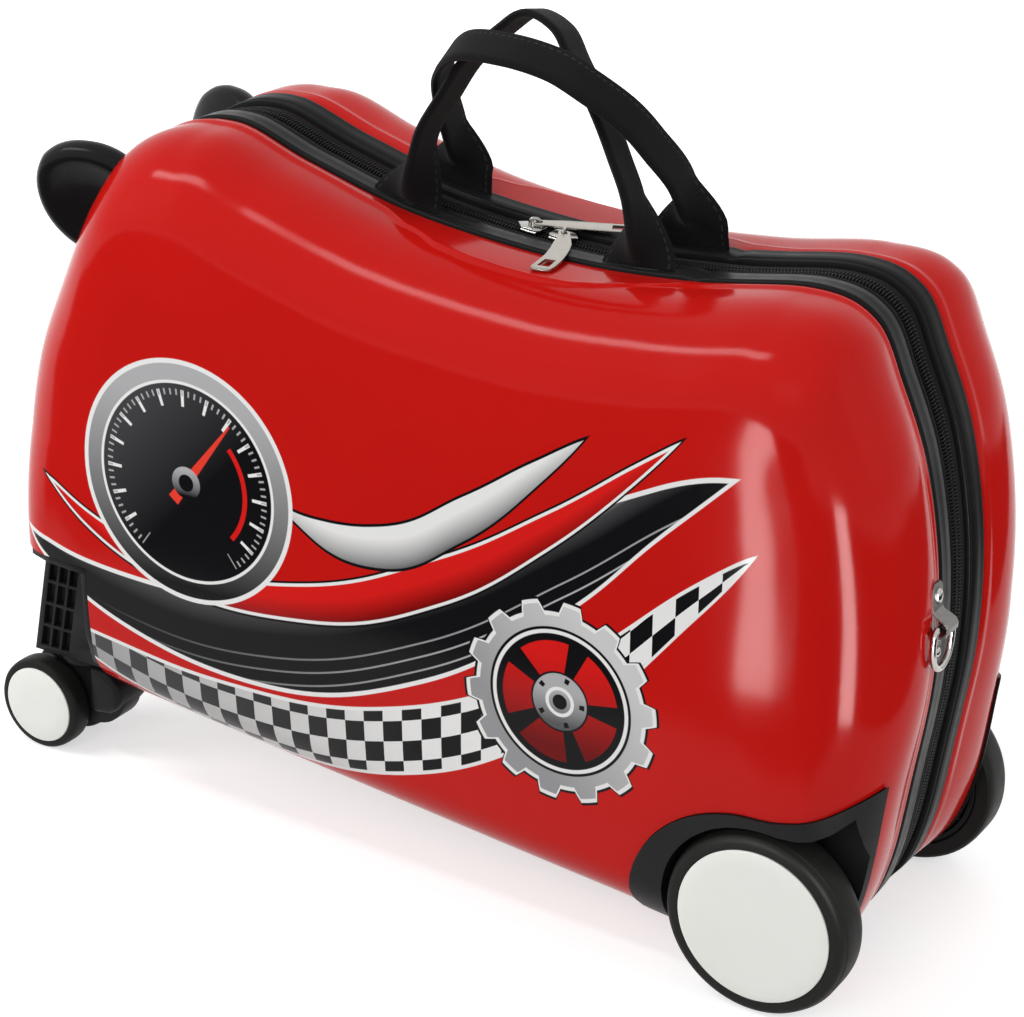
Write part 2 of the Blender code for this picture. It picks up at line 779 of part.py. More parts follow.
def make_big_wheel():
    """Tyre, ribbed hub, cap and axle of the front big wheel."""
    half = WHEEL_WIDTH / 2
    middle_y = WHEEL_OUTER_Y - half
    centre = Vector((WHEEL_X, -middle_y, WHEEL_RADIUS))
    cap_low = half + WHEEL_CAP_PROUD - WHEEL_CAP_THICKNESS
    hub_high = cap_low - GAP
    hub_low = -half + GAP
    tyre = tyre_profile(
        WHEEL_RADIUS, half, WHEEL_SHOULDER, WHEEL_TYRE_WALL, WHEEL_CAP_RADIUS, hub_high - GAP
    )
    hub_radius = WHEEL_RADIUS - WHEEL_TYRE_WALL - GAP
    web_low = hub_high - WHEEL_HUB_WEB
    hub_shape = hub_profile(
        hub_radius, WHEEL_HUB_RIM, WHEEL_BOSS_RADIUS, AXLE_RADIUS + GAP, hub_high, web_low, hub_low
    )
    hub = turned("front_wheel_hub", hub_shape, centre, WHEEL_STEPS, BLACK_PLASTIC)
    reach = (WHEEL_BOSS_RADIUS - GAP * 2, hub_radius - WHEEL_HUB_RIM / 2)
    span = (hub_low + WHEEL_HUB_WEB / 2, web_low + WHEEL_HUB_WEB / 2)
    join(hub, rib_star("front_wheel_ribs", centre, reach, span))
    cap = cap_profile(WHEEL_CAP_RADIUS, half + WHEEL_CAP_PROUD, cap_low)
    head_low = middle_y - HOUSING_BACK_Y + GAP
    axle = axle_profile(
        AXLE_RADIUS, web_low - GAP, AXLE_HEAD_RADIUS, -head_low, AXLE_HEAD_THICKNESS
    )
    return [
        turned("front_wheel_tyre", tyre, centre, WHEEL_STEPS, TYRE_RUBBER, closed=True),
        hub,
        turned("front_wheel_cap", cap, centre, WHEEL_STEPS, WHITE_CAP),
        turned("front_wheel_axle", axle, centre, AXLE_STEPS, STEEL),
    ]


def tyre_profile(radius, half, shoulder, wall, cap_radius, ledge):
    """Section of a tyre whose outer face is stepped to take the cap."""
    return (
        (cap_radius + GAP, ledge),
        (cap_radius + GAP, half),
        (radius - shoulder * 0.6, half),
        (radius - shoulder * 0.2, half - shoulder * 0.3),
        (radius, half - shoulder),
        (radius, shoulder - half),
        (radius - shoulder * 0.2, shoulder * 0.3 - half),
        (radius - shoulder * 0.6, -half),
        (radius - wall, -half),
        (radius - wall, ledge),
    )


def hub_profile(radius, rim, boss, bore, high, web_low, low):
    return (
        (0.0, high),
        (radius, high),
        (radius, low),
        (radius - rim, low),
        (radius - rim, web_low),
        (boss, web_low),
        (boss, low),
        (bore, low),
        (bore, web_low),
        (0.0, web_low),
    )


def cap_profile(radius, high, low):
    edge = (high - low) / 3
    return ((0.0, high), (radius - edge, high), (radius, high - edge), (radius, low), (0.0, low))


def axle_profile(radius, high, head_radius, head_high, head_thickness):
    low = head_high - head_thickness
    return (
        (0.0, high),
        (radius, high),
        (radius, head_high),
        (head_radius, head_high),
        (head_radius, low),
        (0.0, low),
    )


def rib_star(name, centre, reach, span):
    """Thin plates from a hub's boss to its rim, as one mesh."""
    points, faces = [], []
    half = WHEEL_HUB_RIB_WIDTH / 2
    for k in range(WHEEL_RIB_COUNT):
        turn = Matrix.Rotation(math.tau * k / WHEEL_RIB_COUNT, 4, "Y")
        base = len(points)
        for height in span:
            for r, side in ((reach[0], -half), (reach[1], -half), (reach[1], half), (reach[0], half)):
                points.append(centre + turn @ Vector((r, -height, side)))
        faces += ring_faces(4, 2, start=base)
        faces += [tuple(range(base, base + 4)), tuple(range(base + 4, base + 8))]
    return new_object(closed_mesh(name, points, faces))


def make_bracket():
    """Caster bracket: a leaning block with a lattice front and a roof and wall up to the shell."""
    top = BRACKET_TOP_Z - GAP
    right = BRACKET_NICHE_X - GAP
    left_top = BRACKET_PANEL_TOP_X
    left_low = left_top - BRACKET_PANEL_LEAN
    core_outline = (
        (left_top, top),
        (right, top),
        (right, BRACKET_BASE_Z + BRACKET_CHAMFER),
        (right - BRACKET_CHAMFER, BRACKET_BASE_Z),
        (left_low, BRACKET_BASE_Z),
    )
    bracket = prism("front_caster_bracket", core_outline, -BRACKET_PANEL_Y, -BRACKET_BACK_Y)
    wall = prism(
        "bracket_wall",
        rectangle((right - BRACKET_WALL, LOW_Z), (right, top)),
        -FAR_Y,
        -BRACKET_BACK_Y,
    )
    roof = prism(
        "bracket_roof",
        rectangle((FAR_X, top - BRACKET_WALL), (right, top)),
        -FAR_Y,
        -BRACKET_BACK_Y,
    )
    for piece in (wall, roof):
        boolean(piece, "INTERSECT", form(0.0))
    join(bracket, wall, roof)
    inner = BRACKET_PANEL_Y - BRACKET_PANEL_THICKNESS
    cavity = (
        (left_top + 2 * BRACKET_WALL, top - BRACKET_WALL),
        (right - BRACKET_WALL, top - BRACKET_WALL),
        (right - BRACKET_WALL, BRACKET_BASE_Z + BRACKET_CAVITY_FLOOR),
        (BRACKET_CAVITY_LOW_X, BRACKET_BASE_Z + BRACKET_CAVITY_FLOOR),
        BRACKET_CAVITY_BEND,
    )
    stem_x = CASTER_AXLE_X + CASTER_TRAIL
    socket_low = (stem_x, -CASTER_Y, 0.0)
    socket_high = (stem_x, -CASTER_Y, CASTER_STEM_HIGH_Z + GAP)
    rivet_depth = inner + BRACKET_PANEL_THICKNESS / 2
    rivet_hole = [(BRACKET_RIVET_X, y, BRACKET_RIVET_Z) for y in (-FAR_Y, -rivet_depth)]
    cut(
        bracket,
        prism("bracket_cavity", cavity, -inner, 0.0),
        cylinder("bracket_socket", socket_low, socket_high, CASTER_STEM_RADIUS + GAP, AXLE_STEPS),
        cylinder("bracket_rivet_hole", *rivet_hole, RIVET_SHANK_RADIUS + GAP, RIVET_STEPS),
        lattice_pockets("bracket_pockets", left_top, left_low, top),
    )
    rivet = cylinder(
        "front_bracket_rivet",
        (rivet_hole[0][0], -BRACKET_PANEL_Y - RIVET_HEIGHT, rivet_hole[0][2]),
        (rivet_hole[1][0], rivet_hole[1][1] - GAP, rivet_hole[1][2]),
        RIVET_SHANK_RADIUS,
        RIVET_STEPS,
    )
    return [
        finish("front_caster_bracket", bracket, BLACK_PLASTIC),
        finish("front_bracket_rivet", rivet, STEEL),
    ]


def lattice_pockets(name, left_top, left_low, top):
    """The pockets of the bracket's leaning panel, as one mesh."""
    points, faces = [], []
    columns, rows = BRACKET_COLUMN_COUNT, BRACKET_ROW_COUNT
    height = top - BRACKET_BASE_Z - 2 * BRACKET_RIM
    width = BRACKET_PANEL_WIDTH - 2 * BRACKET_RIM
    for row in range(rows):
        for column in range(columns):
            base = len(points)
            for y in (-FAR_Y, -BRACKET_PANEL_Y + BRACKET_POCKET_DEPTH):
                for across, up in rectangle((column, row), (column + 1, row + 1)):
                    z = BRACKET_BASE_Z + BRACKET_RIM + height * up / rows
                    z += BRACKET_POCKET_RIB / 2 * (1 if up == row else -1)
                    lean = left_low + (left_top - left_low) * (z - BRACKET_BASE_Z) / (
                        top - BRACKET_BASE_Z
                    )
                    x = lean + BRACKET_RIM + width * across / columns
                    x += BRACKET_POCKET_RIB / 2 * (1 if across == column else -1)
                    points.append((x, y, z))
            faces += ring_faces(4, 2, start=base)
            faces += [tuple(range(base, base + 4)), tuple(range(base + 4, base + 8))]
    return new_object(closed_mesh(name, points, faces))


def make_caster():
    """Stem, fork, axle and both wheels of the front caster."""
    stem_x = CASTER_AXLE_X + CASTER_TRAIL
    stem_base = (stem_x, -CASTER_Y, CASTER_STEM_LOW_Z)
    stem_top = (stem_x, -CASTER_Y, CASTER_STEM_HIGH_Z)
    stem = cylinder("front_caster_stem", stem_base, stem_top, CASTER_STEM_RADIUS, AXLE_STEPS)
    half_fork = CASTER_FORK_WIDTH / 2
    fork = prism("front_caster_fork", FORK_OUTLINE, -CASTER_Y - half_fork, -CASTER_Y + half_fork)
    crown_high = BRACKET_BASE_Z - GAP
    crown_low = crown_high - CASTER_CROWN_HEIGHT
    crown = cylinder(
        "fork_crown",
        (stem_x, -CASTER_Y, crown_low),
        (stem_x, -CASTER_Y, crown_high),
        CASTER_CROWN_RADIUS,
        CASTER_STEPS,
    )
    join(fork, crown)
    bore_y = (-CASTER_Y - CASTER_FORK_WIDTH, -CASTER_Y + CASTER_FORK_WIDTH)
    axle_ends = [(CASTER_AXLE_X, y, CASTER_WHEEL_RADIUS) for y in bore_y]
    cut(
        fork,
        cylinder(
            "fork_stem_hole",
            (stem_x, -CASTER_Y, CASTER_STEM_LOW_Z - GAP),
            (stem_x, -CASTER_Y, CASTER_STEM_HIGH_Z),
            CASTER_STEM_RADIUS + GAP,
            AXLE_STEPS,
        ),
        cylinder("fork_axle_hole", *axle_ends, CASTER_AXLE_RADIUS + GAP, RIVET_STEPS),
    )
    half = CASTER_WHEEL_WIDTH / 2
    middle = half_fork + GAP + half
    centre = (CASTER_AXLE_X, -CASTER_Y - middle, CASTER_WHEEL_RADIUS)
    cap_low = half + CASTER_CAP_PROUD - CASTER_CAP_THICKNESS
    hub_high = cap_low - GAP
    web_low = hub_high - CASTER_HUB_WEB
    tyre = tyre_profile(
        CASTER_WHEEL_RADIUS, half, CASTER_SHOULDER, CASTER_TYRE_WALL, CASTER_CAP_RADIUS, hub_high - GAP
    )
    hub = hub_profile(
        CASTER_WHEEL_RADIUS - CASTER_TYRE_WALL - GAP,
        CASTER_HUB_RIM,
        CASTER_BOSS_RADIUS,
        CASTER_AXLE_RADIUS + GAP,
        hub_high,
        web_low,
        -half,
    )
    cap = cap_profile(CASTER_CAP_RADIUS, half + CASTER_CAP_PROUD, cap_low)
    axle_reach = middle + web_low - GAP
    axle = cylinder(
        "front_caster_axle",
        (CASTER_AXLE_X, -CASTER_Y - axle_reach, CASTER_WHEEL_RADIUS),
        (CASTER_AXLE_X, -CASTER_Y + axle_reach, CASTER_WHEEL_RADIUS),
        CASTER_AXLE_RADIUS,
        RIVET_STEPS,
    )
    outer = [
        turned("front_caster_outer_tyre", tyre, centre, CASTER_STEPS, TYRE_RUBBER, closed=True),
        turned("front_caster_outer_hub", hub, centre, CASTER_STEPS, BLACK_PLASTIC),
        turned("front_caster_outer_cap", cap, centre, CASTER_STEPS, WHITE_CAP),
    ]
    inner = [mirrored(p, p.name.replace("outer", "inner"), -CASTER_Y) for p in outer]
    fixed = [
        finish("front_caster_stem", stem, STEEL),
        finish("front_caster_fork", fork, BLACK_PLASTIC),
        finish("front_caster_axle", axle, STEEL),
    ]
    return fixed + outer + inner


def make_horn():
    """A round paddle that splays out of the shell's upper corner, and its screw from inside."""
    centre = Vector((HORN_X, -HORN_Y, HORN_Z))
    level = Vector((-math.cos(HORN_TILT), 0.0, math.sin(HORN_TILT)))
    reach = level * math.cos(HORN_SPLAY) + Vector((0.0, -math.sin(HORN_SPLAY), 0.0))
    slope = Vector((math.sin(HORN_TILT), 0.0, math.cos(HORN_TILT)))
    axis = reach.cross(slope)
    turn = Matrix((reach, slope, axis)).transposed().to_euler()
    r, t = HORN_RADIUS, HORN_THICKNESS
    upper = ((0.0, t * 0.9), (r * 0.55, t), (r * 0.82, t * 0.8), (r * 0.95, t * 0.45), (r, 0.0))
    profile = upper + tuple((a, -b) for a, b in reversed(upper[:-1]))
    horn = turned("front_horn", profile, centre, HORN_STEPS, BLACK_GLOSS, turn=turn)
    boolean(horn, "DIFFERENCE", form(GAP))
    inside = centre - reach * HORN_SCREW_DEPTH
    hole_end = centre + reach * (HORN_SCREW_REACH + GAP)
    hole = cylinder("horn_screw_hole", inside, hole_end, HORN_SCREW_RADIUS + GAP, RIVET_STEPS)
    cut(horn, hole)
    shank = cylinder(
        "front_horn_screw",
        inside,
        centre + reach * HORN_SCREW_REACH,
        HORN_SCREW_RADIUS,
        RIVET_STEPS,
    )
    seat = -WALL - GAP
    boolean(shank, "DIFFERENCE", form(seat - HORN_SCREW_HEAD_THICKNESS))
    head = cylinder("horn_screw_head", inside, centre, HORN_SCREW_HEAD_RADIUS, RIVET_STEPS)
    keep_layer(head, seat - HORN_SCREW_HEAD_THICKNESS, seat)
    join(shank, head)
    return [horn, finish("front_horn_screw", shank, STEEL)], hole


def folded_section(fold):
    """Section of a webbing strip folded about its middle line, flat at 0 and shut at 90 degrees."""
    length, t = LOOP_WIDTH / 2, LOOP_THICKNESS
    spine = t * (0.15 + 0.85 * math.sin(fold))
    tip = (spine + length * math.cos(fold), length * math.sin(fold))
    tip_in = (tip[0] - t * math.sin(fold), tip[1] + t * math.cos(fold))
    notch = t / max(math.cos(fold), 0.2)
    if fold > math.radians(85):
        notch = tip_in[1]
        tip_in = (t * 0.15, tip_in[1])
    middle = length * math.sin(fold) / 2
    half = ((spine, 0.0), tip, tip_in)
    other = tuple((-u, v) for u, v in reversed(half))
    return [(u, v - middle) for u, v in (*half, (0.0, notch), *other)]


def webbing_loop(name, points, lean):
    """A strip that stands flat on the trim at both feet and is folded along its middle between."""
    feet = [top_at(points[0][0]) + TRIM_PROUD, top_at(points[-1][0]) + TRIM_PROUD]
    placed = []
    for i, (x, y, height) in enumerate(points):
        share = i / (len(points) - 1)
        placed.append((x, y, height + feet[0] * (1 - share) + feet[1] * share))
    path = smooth_path(placed, False, LOOP_STEPS)
    across = Vector((0.0, math.cos(lean), -math.sin(lean)))
    rings = []
    for i, p in enumerate(path):
        along = (path[min(i + 1, len(path) - 1)] - path[max(i - 1, 0)]).normalized()
        share = i / (len(path) - 1)
        height = p.z - feet[0] * (1 - share) - feet[1] * share
        rise = (height - LOOP_FLAT_HEIGHT) / (LOOP_FOLD_HEIGHT - LOOP_FLAT_HEIGHT)
        fold = math.pi / 2 * min(max(rise, 0.0), 1.0)
        side = along.cross(across).normalized()
        over = side.cross(along).normalized()
        rings.append([p + side * u + over * v for u, v in folded_section(fold)])
    count = len(rings[0])
    corners = [q for ring in rings for q in ring]
    faces = ring_faces(count, len(rings))
    faces += [tuple(range(count)), tuple(range(len(corners) - count, len(corners)))]
    loop = new_object(closed_mesh(name, corners, faces))
    boolean(loop, "DIFFERENCE", trimmed_case())
    return finish(name, loop, WEBBING, angle=50)


CASE_PLUG = []


def trimmed_case():
    """The case's side outline over the trims, as one block that things stand on."""
    if not CASE_PLUG:
        outline = [(p[0], p[2]) for p in ring_at(TRIM_PROUD + GAP, 0.0)]
        CASE_PLUG.append(as_cutter(prism("case_plug", outline, -TRIM_OUTER_Y, TRIM_OUTER_Y)))
    return CASE_PLUG[0]


def slope_at(x):
    """Turn about Y that lays a level piece along the top line at x."""
    step = 0.002
    return math.atan2(top_at(x - step) - top_at(x + step), 2 * step)


def zip_low():
    """Height of the underside of a slider over the side outline."""
    return -TAPE_DEPTH + GAP + TEETH_HEIGHT + GAP


def make_slider(name, x, turn):
    """A slider body with a bridge that points the way its puller lies."""
    half, top = SLIDER_LENGTH / 2, SLIDER_THICKNESS
    side = SLIDER_WIDTH / 2
    outline = [(-half, -side * 0.4), (-half * 0.6, -side), (half * 0.8, -side), (half, -side * 0.8)]
    outline += [(a, -b) for a, b in reversed(outline)]
    low = zip_low()
    body = prism(name, outline, low, low + top)
    body.data.transform(Matrix.Rotation(math.pi / 2, 4, "X"))
    wire, base = BRIDGE_WIRE, low + top / 2
    peak = low + top + BRIDGE_HEIGHT
    start, end = BRIDGE_OFFSET - BRIDGE_LENGTH / 2, BRIDGE_OFFSET + BRIDGE_LENGTH / 2
    arch = (
        (start, base),
        (start, peak - wire * 0.6),
        (start + wire * 0.6, peak),
        (end - wire * 0.6, peak),
        (end, peak - wire * 0.6),
        (end, base),
        (end - wire, base),
        (end - wire, peak - wire),
        (start + wire, peak - wire),
        (start + wire, base),
    )
    bridge = prism(name + "_bridge", arch, -wire / 2, wire / 2)
    bridge.data.transform(Matrix.Rotation(turn, 4, "Z"))
    for piece in (body, bridge):
        place_on_zip(piece, x)
    join(body, bridge)
    return finish(name, body, CHROME)


def place_on_zip(obj, x):
    obj.location = (x, 0.0, top_at(x))
    obj.rotation_euler = (0.0, slope_at(x), 0.0)


def make_puller(name, x, turn, drop):
    """A tab whose eye goes round the bridge, with its origin on the bar that it turns on."""
    half, neck = PULLER_WIDTH / 2, PULLER_EYE_WIDTH / 2
    thick, eye = PULLER_THICKNESS, PULLER_EYE_HOLE / 2
    bar = (neck + eye) / 2
    outline = [(-neck, -neck * 0.6), (-neck * 0.6, -neck), (PULLER_NECK_LENGTH * 0.8, -neck)]
    outline += [(PULLER_NECK_LENGTH, -half), (PULLER_LENGTH - half * 0.5, -half)]
    outline += [(PULLER_LENGTH, -half * 0.5)]
    outline += [(u, -v) for u, v in reversed(outline)]
    slot_start, slot_end, slot_width = PULLER_SLOT
    tab = prism(name, outline, -thick / 2, thick / 2)
    eye_hole = prism(name + "_eye", rectangle((-eye, -eye), (eye, eye)), -thick, thick)
    slot_outline = rectangle((slot_start, -slot_width / 2), (slot_end, slot_width / 2))
    slot = prism(name + "_slot", slot_outline, -thick, thick)
    on_slider = Matrix.Translation((x, 0.0, top_at(x))) @ Matrix.Rotation(slope_at(x), 4, "Y")
    reach = BRIDGE_OFFSET + (BRIDGE_LENGTH - BRIDGE_WIRE) / 2 - bar
    rise = zip_low() + SLIDER_THICKNESS + (BRIDGE_HEIGHT - BRIDGE_WIRE) / 2
    on_slider @= Matrix.Rotation(turn, 4, "Z") @ Matrix.Translation((reach, 0.0, rise))
    on_slider @= Matrix.Rotation(drop, 4, "Y")
    for piece in (tab, eye_hole, slot):
        piece.data.transform(Matrix.Translation((bar, 0, 0)) @ Matrix.Rotation(math.pi / 2, 4, "X"))
        piece.matrix_world = on_slider
    cut(tab, eye_hole, slot)
    return finish(name, tab, CHROME)


def capsule(middle, width, height):
    """Outline of a plate with round ends, as (y, z) pairs."""
    radius = width / 2
    outline = []
    for start, centre_z in (
        (0.0, middle[1] + height / 2 - radius),
        (math.pi, middle[1] - height / 2 + radius),
    ):
        for step in range(RIVET_STEPS // 2 + 1):
            angle = start + math.pi * step / (RIVET_STEPS // 2)
            y = middle[0] + radius * math.cos(angle)
            outline.append((y, centre_z + radius * math.sin(angle)))
    return outline


def tow_surface_x(z):
    """X of the shell's outside under the tow plate."""
    return wheel_end_at(z) + END_BULGE * 0.75


def make_tow_plate():
    surface = tow_surface_x(TOW_Z)
    outline = capsule((-TOW_Y, TOW_Z), TOW_PLATE_WIDTH, TOW_PLATE_HEIGHT)
    reach = TOW_PLATE_HEIGHT
    plate = prism("tow_plate", outline, surface - reach, surface + reach, along="X")
    keep_layer(plate, GAP, GAP + TOW_PLATE_THICKNESS)
    knuckle_x = surface + tow_axis_offset()
    width = TOW_PLATE_WIDTH * 0.4
    knuckle = cylinder(
        "tow_knuckle",
        (knuckle_x, -TOW_Y - width, TOW_Z),
        (knuckle_x, -TOW_Y + width, TOW_Z),
        TOW_KNUCKLE_RADIUS,
        AXLE_STEPS,
    )
    boolean(knuckle, "DIFFERENCE", form(GAP))
    join(plate, knuckle)
    bore = cylinder(
        "tow_bore",
        (knuckle_x, -TOW_Y - TOW_PLATE_WIDTH, TOW_Z),
        (knuckle_x, -TOW_Y + TOW_PLATE_WIDTH, TOW_Z),
        TOW_RING_WIRE + GAP,
        AXLE_STEPS,
    )
    cut(plate, bore)
    return finish("tow_plate", plate, STEEL)


def tow_axis_offset():
    """Distance of the ring's bar from the shell's surface."""
    return GAP + TOW_PLATE_THICKNESS + TOW_RING_CLEARANCE + TOW_RING_WIRE


def make_tow_ring():
    """A D-shaped ring whose straight bar runs through the knuckle."""
    x = tow_surface_x(TOW_Z) + tow_axis_offset()
    half = TOW_RING_WIDTH / 2
    drop = TOW_RING_HEIGHT - half
    corner = TOW_RING_WIRE
    path = [(half - corner, 0.0), (half, -corner), (half, -drop)]
    for step in range(1, TOW_RING_STEPS // 2):
        angle = -math.pi * step / (TOW_RING_STEPS // 2)
        path.append((half * math.cos(angle), -drop + half * math.sin(angle)))
    path += [(-half, -drop), (-half, -corner), (-half + corner, 0.0)]
    curve = bpy.data.curves.new("tow_ring", "CURVE")
    curve.dimensions = "3D"
    curve.bevel_depth = TOW_RING_WIRE
    curve.bevel_resolution = 2
    spline = curve.splines.new("POLY")
    spline.points.add(len(path) - 1)
    for point, (y, z) in zip(spline.points, path):
        point.co = (0.0, y, z, 1.0)
    spline.use_cyclic_u = True
    ring = bpy.data.objects.new("tow_ring", curve)
    ring.location = (x, -TOW_Y, TOW_Z)
    PARTS.objects.link(ring)
    return finish("tow_ring", ring, CHROME)


def make_tow_rivets(shell, plate):
    """Two rivets through the plate and the shell, with flat heads inside."""
    rivets = []
    for name, sign in (("tow_rivet_upper", 1), ("tow_rivet_lower", -1)):
        z = TOW_Z + sign * TOW_RIVET_SPACING / 2
        surface = tow_surface_x(z)
        inside = (surface - RIVET_REACH, -TOW_Y, z)
        outside = (surface + RIVET_REACH, -TOW_Y, z)
        hole = cylinder(name + "_hole", inside, outside, RIVET_SHANK_RADIUS + GAP, RIVET_STEPS)
        cut(shell, hole)
        cut(plate, hole)
        seat = GAP + TOW_PLATE_THICKNESS + GAP
        back = -WALL - GAP
        shank = cylinder(name, inside, outside, RIVET_SHANK_RADIUS, RIVET_STEPS)
        keep_layer(shank, back - RIVET_HEIGHT / 2, seat + RIVET_HEIGHT / 2)
        head = cylinder(name + "_head", inside, outside, RIVET_RADIUS, RIVET_STEPS)
        keep_layer(head, seat, seat + RIVET_HEIGHT)
        tail = cylinder(name + "_tail", inside, outside, RIVET_RADIUS, RIVET_STEPS)
        keep_layer(tail, back - RIVET_HEIGHT, back)
        join(shank, head, tail)
        rivets.append(finish(name, shank, STEEL))
    return rivets


def centre_along_case():
    """Puts the middle of the whole length over the origin."""
    left = CASTER_AXLE_X - CASTER_WHEEL_RADIUS
    right = tow_surface_x(TOW_Z) + tow_axis_offset() + max(TOW_RING_WIRE, TOW_KNUCKLE_RADIUS)
    for obj in bpy.data.objects:
        obj.location.x -= (left + right) / 2
    return (left + right) / 2


def main():
    shell = make_shell()
    horn_pieces, horn_hole = make_horn()
    cut(shell, horn_hole)
    pieces = [shell, make_lining(), make_trim(), make_wheel_housing()]
    pieces += make_zip() + make_big_wheel() + make_bracket() + make_caster() + horn_pieces
    for piece in pieces:
        mirrored(piece, piece.name.replace("front", "back"))
    plate = make_tow_plate()
    make_tow_rivets(shell, plate)
    make_tow_ring()
    make_hinge_strip()
    webbing_loop("front_handle", FRONT_LOOP, FRONT_LOOP_LEAN)
    webbing_loop("back_handle", BACK_LOOP, BACK_LOOP_LEAN)
    for side, sign, turn, drop in (
        ("left", -1, PULLER_LEFT_TURN, PULLER_LEFT_DROP),
        ("right", 1, PULLER_RIGHT_TURN, PULLER_RIGHT_DROP),
    ):
        x = SLIDER_X + sign * SLIDER_SPACING / 2
        make_slider(f"zip_slider_{side}", x, turn)
        make_puller(f"zip_puller_{side}", x, turn, drop)
    centre_along_case()


main()
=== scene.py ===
import math

import bpy
from mathutils import Matrix, Vector


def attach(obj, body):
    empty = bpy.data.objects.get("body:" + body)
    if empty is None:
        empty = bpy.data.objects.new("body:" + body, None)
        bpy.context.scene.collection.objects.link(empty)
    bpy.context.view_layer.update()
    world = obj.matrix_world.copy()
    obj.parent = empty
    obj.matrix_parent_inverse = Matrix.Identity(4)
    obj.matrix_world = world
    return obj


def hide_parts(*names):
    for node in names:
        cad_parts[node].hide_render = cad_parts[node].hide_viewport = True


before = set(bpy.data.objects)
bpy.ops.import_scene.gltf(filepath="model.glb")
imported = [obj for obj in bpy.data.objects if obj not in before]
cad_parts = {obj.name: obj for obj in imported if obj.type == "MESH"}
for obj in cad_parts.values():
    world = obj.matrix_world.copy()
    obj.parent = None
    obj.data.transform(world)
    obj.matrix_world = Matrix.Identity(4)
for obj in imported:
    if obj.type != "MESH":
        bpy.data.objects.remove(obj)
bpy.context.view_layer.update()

# Every length is in metres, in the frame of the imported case: X along the case with the big
# wheels at +X, the printed half at -Y, Z up.
CASE_SHIFT = -0.01218
GAP = 0.0003

# Side view of the case along the trim, as shares of its length and height.
CASE_LENGTH, CASE_HEIGHT, CASE_LOW_Z = 0.4340, 0.2995, 0.0165
SIDE_SHAPE = (
    (0.1567, 0.8881), (0.2949, 0.8965), (0.4101, 0.9182), (0.4666, 0.8932), (0.4954, 0.8164),
    (0.5242, 0.7095), (0.5426, 0.5626), (0.5449, 0.4124), (0.5323, 0.2621), (0.5161, 0.1185),
    (0.4908, 0.0334), (0.4447, 0.0000), (0.2650, 0.0200), (0.0000, 0.0571), (-0.2535, 0.0935),
    (-0.3456, 0.1102), (-0.4055, 0.1419), (-0.4412, 0.2187), (-0.4551, 0.3456), (-0.4516, 0.4958),
    (-0.4309, 0.6394), (-0.3940, 0.7629), (-0.3410, 0.9065), (-0.2926, 0.9800), (-0.2258, 1.0000),
    (-0.1406, 0.9599), (-0.0115, 0.9115),
)
OUTLINE_STEPS = 300
FACE_Y = 0.0800
SIDE_ROUNDING, BOTTOM_ROUNDING = 0.0400, 0.0280
END_BULGE = 0.0045
FACE_CROWN, CROWN_INSET = 0.0015, 0.0300
WALL = 0.0022
SPINE = (Vector((-0.1000, 0.1700)), Vector((0.1300, 0.1500)))
TRIM_OUTER_Y, TRIM_PROUD = 0.0223, 0.0016
RIM_INSET, RIM_END_Y = 0.0015, 0.0065

WHEEL_CENTRE = Vector((0.18101, -0.07445, 0.0409))
CASTER_MIDDLE_Y = -0.0455
CASTER_AXLE = Vector((-0.21219, CASTER_MIDDLE_Y, 0.0230))
CASTER_STEM = Vector((-0.19419, CASTER_MIDDLE_Y, 0.0))
FAR_Y, FAR_LOW = -0.12, -0.05


# Values and nodes of a finish
class Value:
    """What a shader socket gives, and the sums on it."""

    def __init__(self, owner, socket):
        self.owner, self.socket = owner, socket

    def sum(self, operation, *others, clamp=False):
        sockets = dict(enumerate((self, *others)))
        made = add_node(self.owner, "ShaderNodeMath", sockets, operation=operation)
        made.use_clamp = clamp
        return Value(self.owner, made.outputs[0])

    def __add__(self, other):
        return self.sum("ADD", other)

    def __sub__(self, other):
        return self.sum("SUBTRACT", other)

    def __mul__(self, other):
        return self.sum("MULTIPLY", other)

    def __abs__(self):
        return self.sum("ABSOLUTE")

    def sine(self):
        return self.sum("SINE")

    def ramp(self, low, high, at_low=0.0, at_high=1.0, **settings):
        """The value carried from one range to another, and held there."""
        sockets = {"Value": self, "From Min": low, "From Max": high, "To Min": at_low, "To Max": at_high}
        made = add_node(self.owner, "ShaderNodeMapRange", sockets, **settings)
        return Value(self.owner, made.outputs[0])

    def mix(self, first, second):
        """first where the value is 0, second where it is 1. Each is a colour or a Value."""
        sockets = {0: self}
        for key, colour in ((6, first), (7, second)):
            sockets[key] = colour if isinstance(colour, Value) else (*colour, 1.0)
        made = add_node(self.owner, "ShaderNodeMix", sockets, data_type="RGBA")
        return Value(self.owner, made.outputs[2])

    def feed(self, shader, name):
        self.owner.node_tree.links.new(self.socket, shader.inputs[name])


def add_node(owner, kind, values=None, **settings):
    """A node of a material or world. Its sockets take plain values or Values."""
    tree = owner.node_tree
    made = tree.nodes.new(kind)
    for key, value in settings.items():
        setattr(made, key, value)
    for key, value in (values or {}).items():
        if isinstance(value, Value):
            tree.links.new(value.socket, made.inputs[key])
        else:
            made.inputs[key].default_value = value
    return made


def new_finish(name, colour, roughness, **sockets):
    """A material and its shader. Further sockets are given by name with underscores."""
    material = bpy.data.materials.new(name)
    material.use_nodes = True
    shader = material.node_tree.nodes["Principled BSDF"]
    for key, value in {"Base Color": (*colour, 1.0), "Roughness": roughness, **sockets}.items():
        shader.inputs[key.replace("_", " ")].default_value = value
    return material, shader


def place_on(material):
    return Value(material, add_node(material, "ShaderNodeTexCoord").outputs["Object"])


